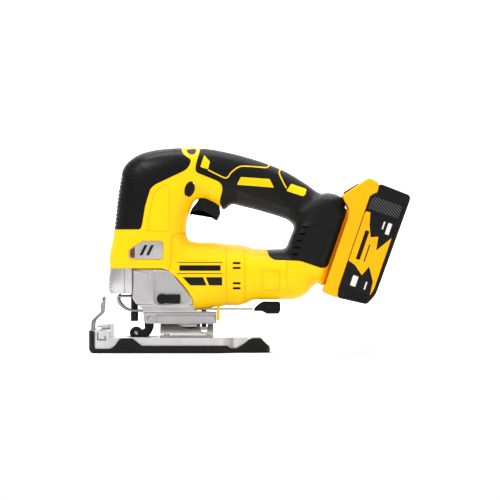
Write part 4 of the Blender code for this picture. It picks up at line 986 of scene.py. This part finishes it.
def build_battery():
    outline = [(49, 81), (51, 79.6), (64.4, 79.4), (62.3, 90), (62.3, 187), (68.4, 191), (66.6, 200.6),
               (58, 202), (54.6, 201.4), (35.8, 176.6), (47.0, 166.5), (48.9, 159.0)]
    top = slab(outline, -PACK_HALF, PACK_HALF, "Y", 1.6, 2.6, 5)
    inside = PACK_HALF - PACK_WALL
    cut(top, plain_box((49 + PACK_WALL, -inside, 83.5), (80, inside, 185)))
    join(top, plain_box((43.2, -20, 92), (50, 20, 166)))
    cut(top, together([plain_box((42.6, y - 1, 80), (48.1, y + 1, 124)) for y in (-9, 0, 9)]))
    face = Matrix.Translation((45.2 * MM, 0, 189.75 * MM)) @ Matrix.Rotation(math.radians(-51), 4, "Y")
    cut(top, turned(plain_box((-13, -13, -6.5), (5, 13, 3)), face))
    settle(tilted(top), "look_battery_top", "battery", "pack_yellow", "battery_top_case")
    button = block((-12.5, -12.5, -3.2), (4.5, 12.5, 0.9), 0.8)
    cut(button, together([plain_box((a, -9, 0.4), (a + 0.9, 9, 3)) for a in np.arange(-10.5, 2.5, 2.2)]))
    button = tilted(turned(button, face))
    settle(button, "look_battery_release", "battery_release", "black", "battery_release")
    outline = [(62.6, 97), (62.6, 186.8), (68.8, 190.6), (67.2, 200.2), (99.2, 198.9), (101, 195),
               (99.6, 100), (99.1, 94.2), (94.4, 82.8), (64.8, 79.5), (62.7, 90)]
    half = PACK_HALF - 0.2
    bottom = slab(outline, -half, half, "Y", 1.8, 3.0, 5)
    field = [(60.0, 91.0), (94.2, 91.0), (96.2, 99.0), (96.4, 170.4), (60.0, 170.4)]
    hatched = [(63.6, 172.4), (96.2, 172.4), (96.6, 186.4), (67.0, 186.8), (63.6, 182.5)]
    for side, word in SIDES:
        near, far = on_side(side, half - 0.9, 50)
        cut(bottom, slab(field, near, far, "Y", 0.0, 2.5),
            slab(hatched, near, far, "Y", 0.0, 1.5))
        near, far = on_side(side, half - 0.85, half - 0.2)
        bars = [[(60.0, a), (99.0, a - 24.0), (99.0, a - 22.9), (60.0, a + 1.1)]
                for a in np.arange(174.0, 212.0, 2.6)]
        bars = together([slab(bar, near, far, "Y", 0.0) for bar in bars])
        keep_inside(bars, slab(moved_in(hatched, 0.5), -60, 60, "Y", 0.0, 1.2))
        settle(tilted(bars), "look_hatch_" + word, "battery", "hatch")
        near, far = on_side(side, half - 2.0, 50)
        ribs = [plain_box((x, near, 81.5), (x + 1.0, far, 89.5)) for x in np.arange(70.0, 93.0, 3.4)]
        cut(bottom, together(ribs))
    cut(bottom, plain_box((55, -half + 3.2, 86), (97.2, half - 3.2, 185)))
    settle(tilted(bottom), "look_battery_bottom", "battery", "black", "battery_bottom_case")
    build_labels(half)


def build_labels(half):
    """Plain label on each side of the pack: a yellow field, two dark fields and bars for the lettering."""
    field = [(62.9, 91.5), (93.9, 91.5), (95.8, 99.2), (95.9, 169.9), (62.9, 169.9)]
    upper = [(67.8, 169.9), (95.9, 169.9), (95.9, 153.0), (85.4, 136.2), (83.0, 150.0), (76.0, 146.7),
             (71.0, 158.0)]
    lower = [(62.9, 91.5), (93.9, 91.5), (92.4, 106.0), (84.0, 119.0), (80.0, 108.5), (70.0, 116.0),
             (62.9, 118.0)]
    name = [box_outline(69.0, 122.0, 73.0, 152.0), box_outline(77.0, 122.0, 78.2, 140.0)]
    bars = [box_outline(88.0, 154.5, 92.0, 166.0), box_outline(83.5, 158.0, 85.0, 166.0),
            box_outline(72.0, 95.5, 77.5, 106.0), box_outline(86.0, 96.0, 87.5, 104.0)]
    # Name, outlines, finish, depth of the back and of the face below the pack's side, corner
    layers = [("field", [field], "pack_yellow", 0.85, 0.30, 2.3),
              ("dark", [upper, lower], "black", 0.35, 0.18, 0.8), ("name", name, "black", 0.35, 0.18, 0.4),
              ("bars", bars, "print", 0.25, 0.08, 0.4)]
    for side, word in SIDES:
        for title, outlines, look, deep, shallow, corner in layers:
            near, far = on_side(side, half - deep, half - shallow)
            sheets = together([slab(line, near, far, "Y", 0.0, corner) for line in outlines])
            settle(tilted(sheets), f"look_label_{title}_{word}", "battery", look)


build_housing()
build_grips()
build_accents()
build_badges()
build_prints()
build_casting()
build_nose_lever()
build_wires()
build_shoe()
build_guides()
build_levers()
build_controls()
build_battery()

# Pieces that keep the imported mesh, under the finish that they get
CARRIED = {
    "steel": ["bevel_clamp_nut", "crank_yoke", "drive_gear", "motor_rotor", "pinion", "bevel_lever",
              *[f"bracket_screw_{number}" for number in range(1, 5)]],
    "black_steel": ["bevel_bolt", "plunger", "roller_arm"],
    "chrome": ["gear_bearing", "front_motor_bearing", "rear_motor_bearing", "roller_arm_pin", "roller_axle"],
    "bronze": ["lower_bush", "upper_bush"],
    "black": ["switch_body", "battery_rail", "cooling_fan"],
    "board": ["motor_controller", "battery_board"],
    "core": ["motor_stator"],
    "cell": ["battery_cells"],
    "lens": ["led_lens"],
}
for look, nodes in CARRIED.items():
    for node in nodes:
        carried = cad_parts[node]
        carried.data.materials.clear()
        carried.data.materials.append(FINISHES[look])


# ---- room, light and camera

def stage_finish(name, colour, roughness):
    look = Finish(name)
    wander = look.noise(1.5, 2.0)
    shade = tuple(part * 0.985 for part in colour)
    return look.feed(Base_Color=look.blend(wander, colour, shade), Roughness=roughness)


def build_room():
    """Pale floor that curves up into the backdrop: a profile swept sideways."""
    t = np.linspace(0, math.pi / 2, 24)
    depth = np.concatenate([[-6.0], 3.3 + 0.8 * np.sin(t), [4.1]])
    height = np.concatenate([[0.0], 0.8 * (1 - np.cos(t)), [5.0]])
    across = np.array([-7.0, 7.0])
    x, y = np.meshgrid(across, depth)
    z = np.repeat(height[:, None], 2, 1)
    points = np.stack([x, y, z], -1).reshape(-1, 3) / MM
    floor = mesh_of(points, grid_faces(len(depth), 2, False, False))
    floor.name = "room"
    floor.data.materials.append(stage_finish("room_paint", (0.93, 0.93, 0.93), 0.9))
    floor.data.shade_smooth()
    floor.location.z = -0.0005


def lamp(name, place, aim, size, power):
    light = bpy.data.lights.new(name, "AREA")
    light.shape = "RECTANGLE"
    light.size, light.size_y = size
    light.energy = power
    holder = in_scene(bpy.data.objects.new(name, light))
    holder.location = place
    holder.rotation_euler = (Vector(aim) - Vector(place)).to_track_quat("-Z", "Y").to_euler()


build_room()
lamp("key", (-0.8, -1.1, 1.7), (0, 0, 0.1), (1.0, 0.5), 22)
lamp("fill", (1.4, -1.3, 0.9), (0, 0, 0.1), (0.9, 0.9), 8)
lamp("top", (0.0, 0.1, 1.8), (0, 0, 0.1), (1.3, 0.4), 24)
lamp("wash", (0.0, 2.0, 2.8), (0, 3.9, 0.6), (3.2, 1.0), 170)

world = bpy.data.worlds.new("studio")
world.use_nodes = True
world.node_tree.nodes["Background"].inputs["Color"].default_value = (1.0, 1.0, 1.0, 1.0)
world.node_tree.nodes["Background"].inputs["Strength"].default_value = 0.5
bpy.context.scene.world = world
bpy.context.scene.view_settings.view_transform = "Standard"

CAMERA_FAR = 3.0
LENS_PER_METRE = 72.0     # focal length for each metre of distance, which keeps the framing
lens = bpy.data.cameras.new("camera")
lens.lens = LENS_PER_METRE * CAMERA_FAR
lens.sensor_width = 36.0
lens.clip_start = 0.02
camera = in_scene(bpy.data.objects.new("camera", lens))
camera.location = (0.0005, -CAMERA_FAR, 0.1015)
camera.rotation_euler = (math.pi / 2, 0, 0)
bpy.context.scene.camera = camera
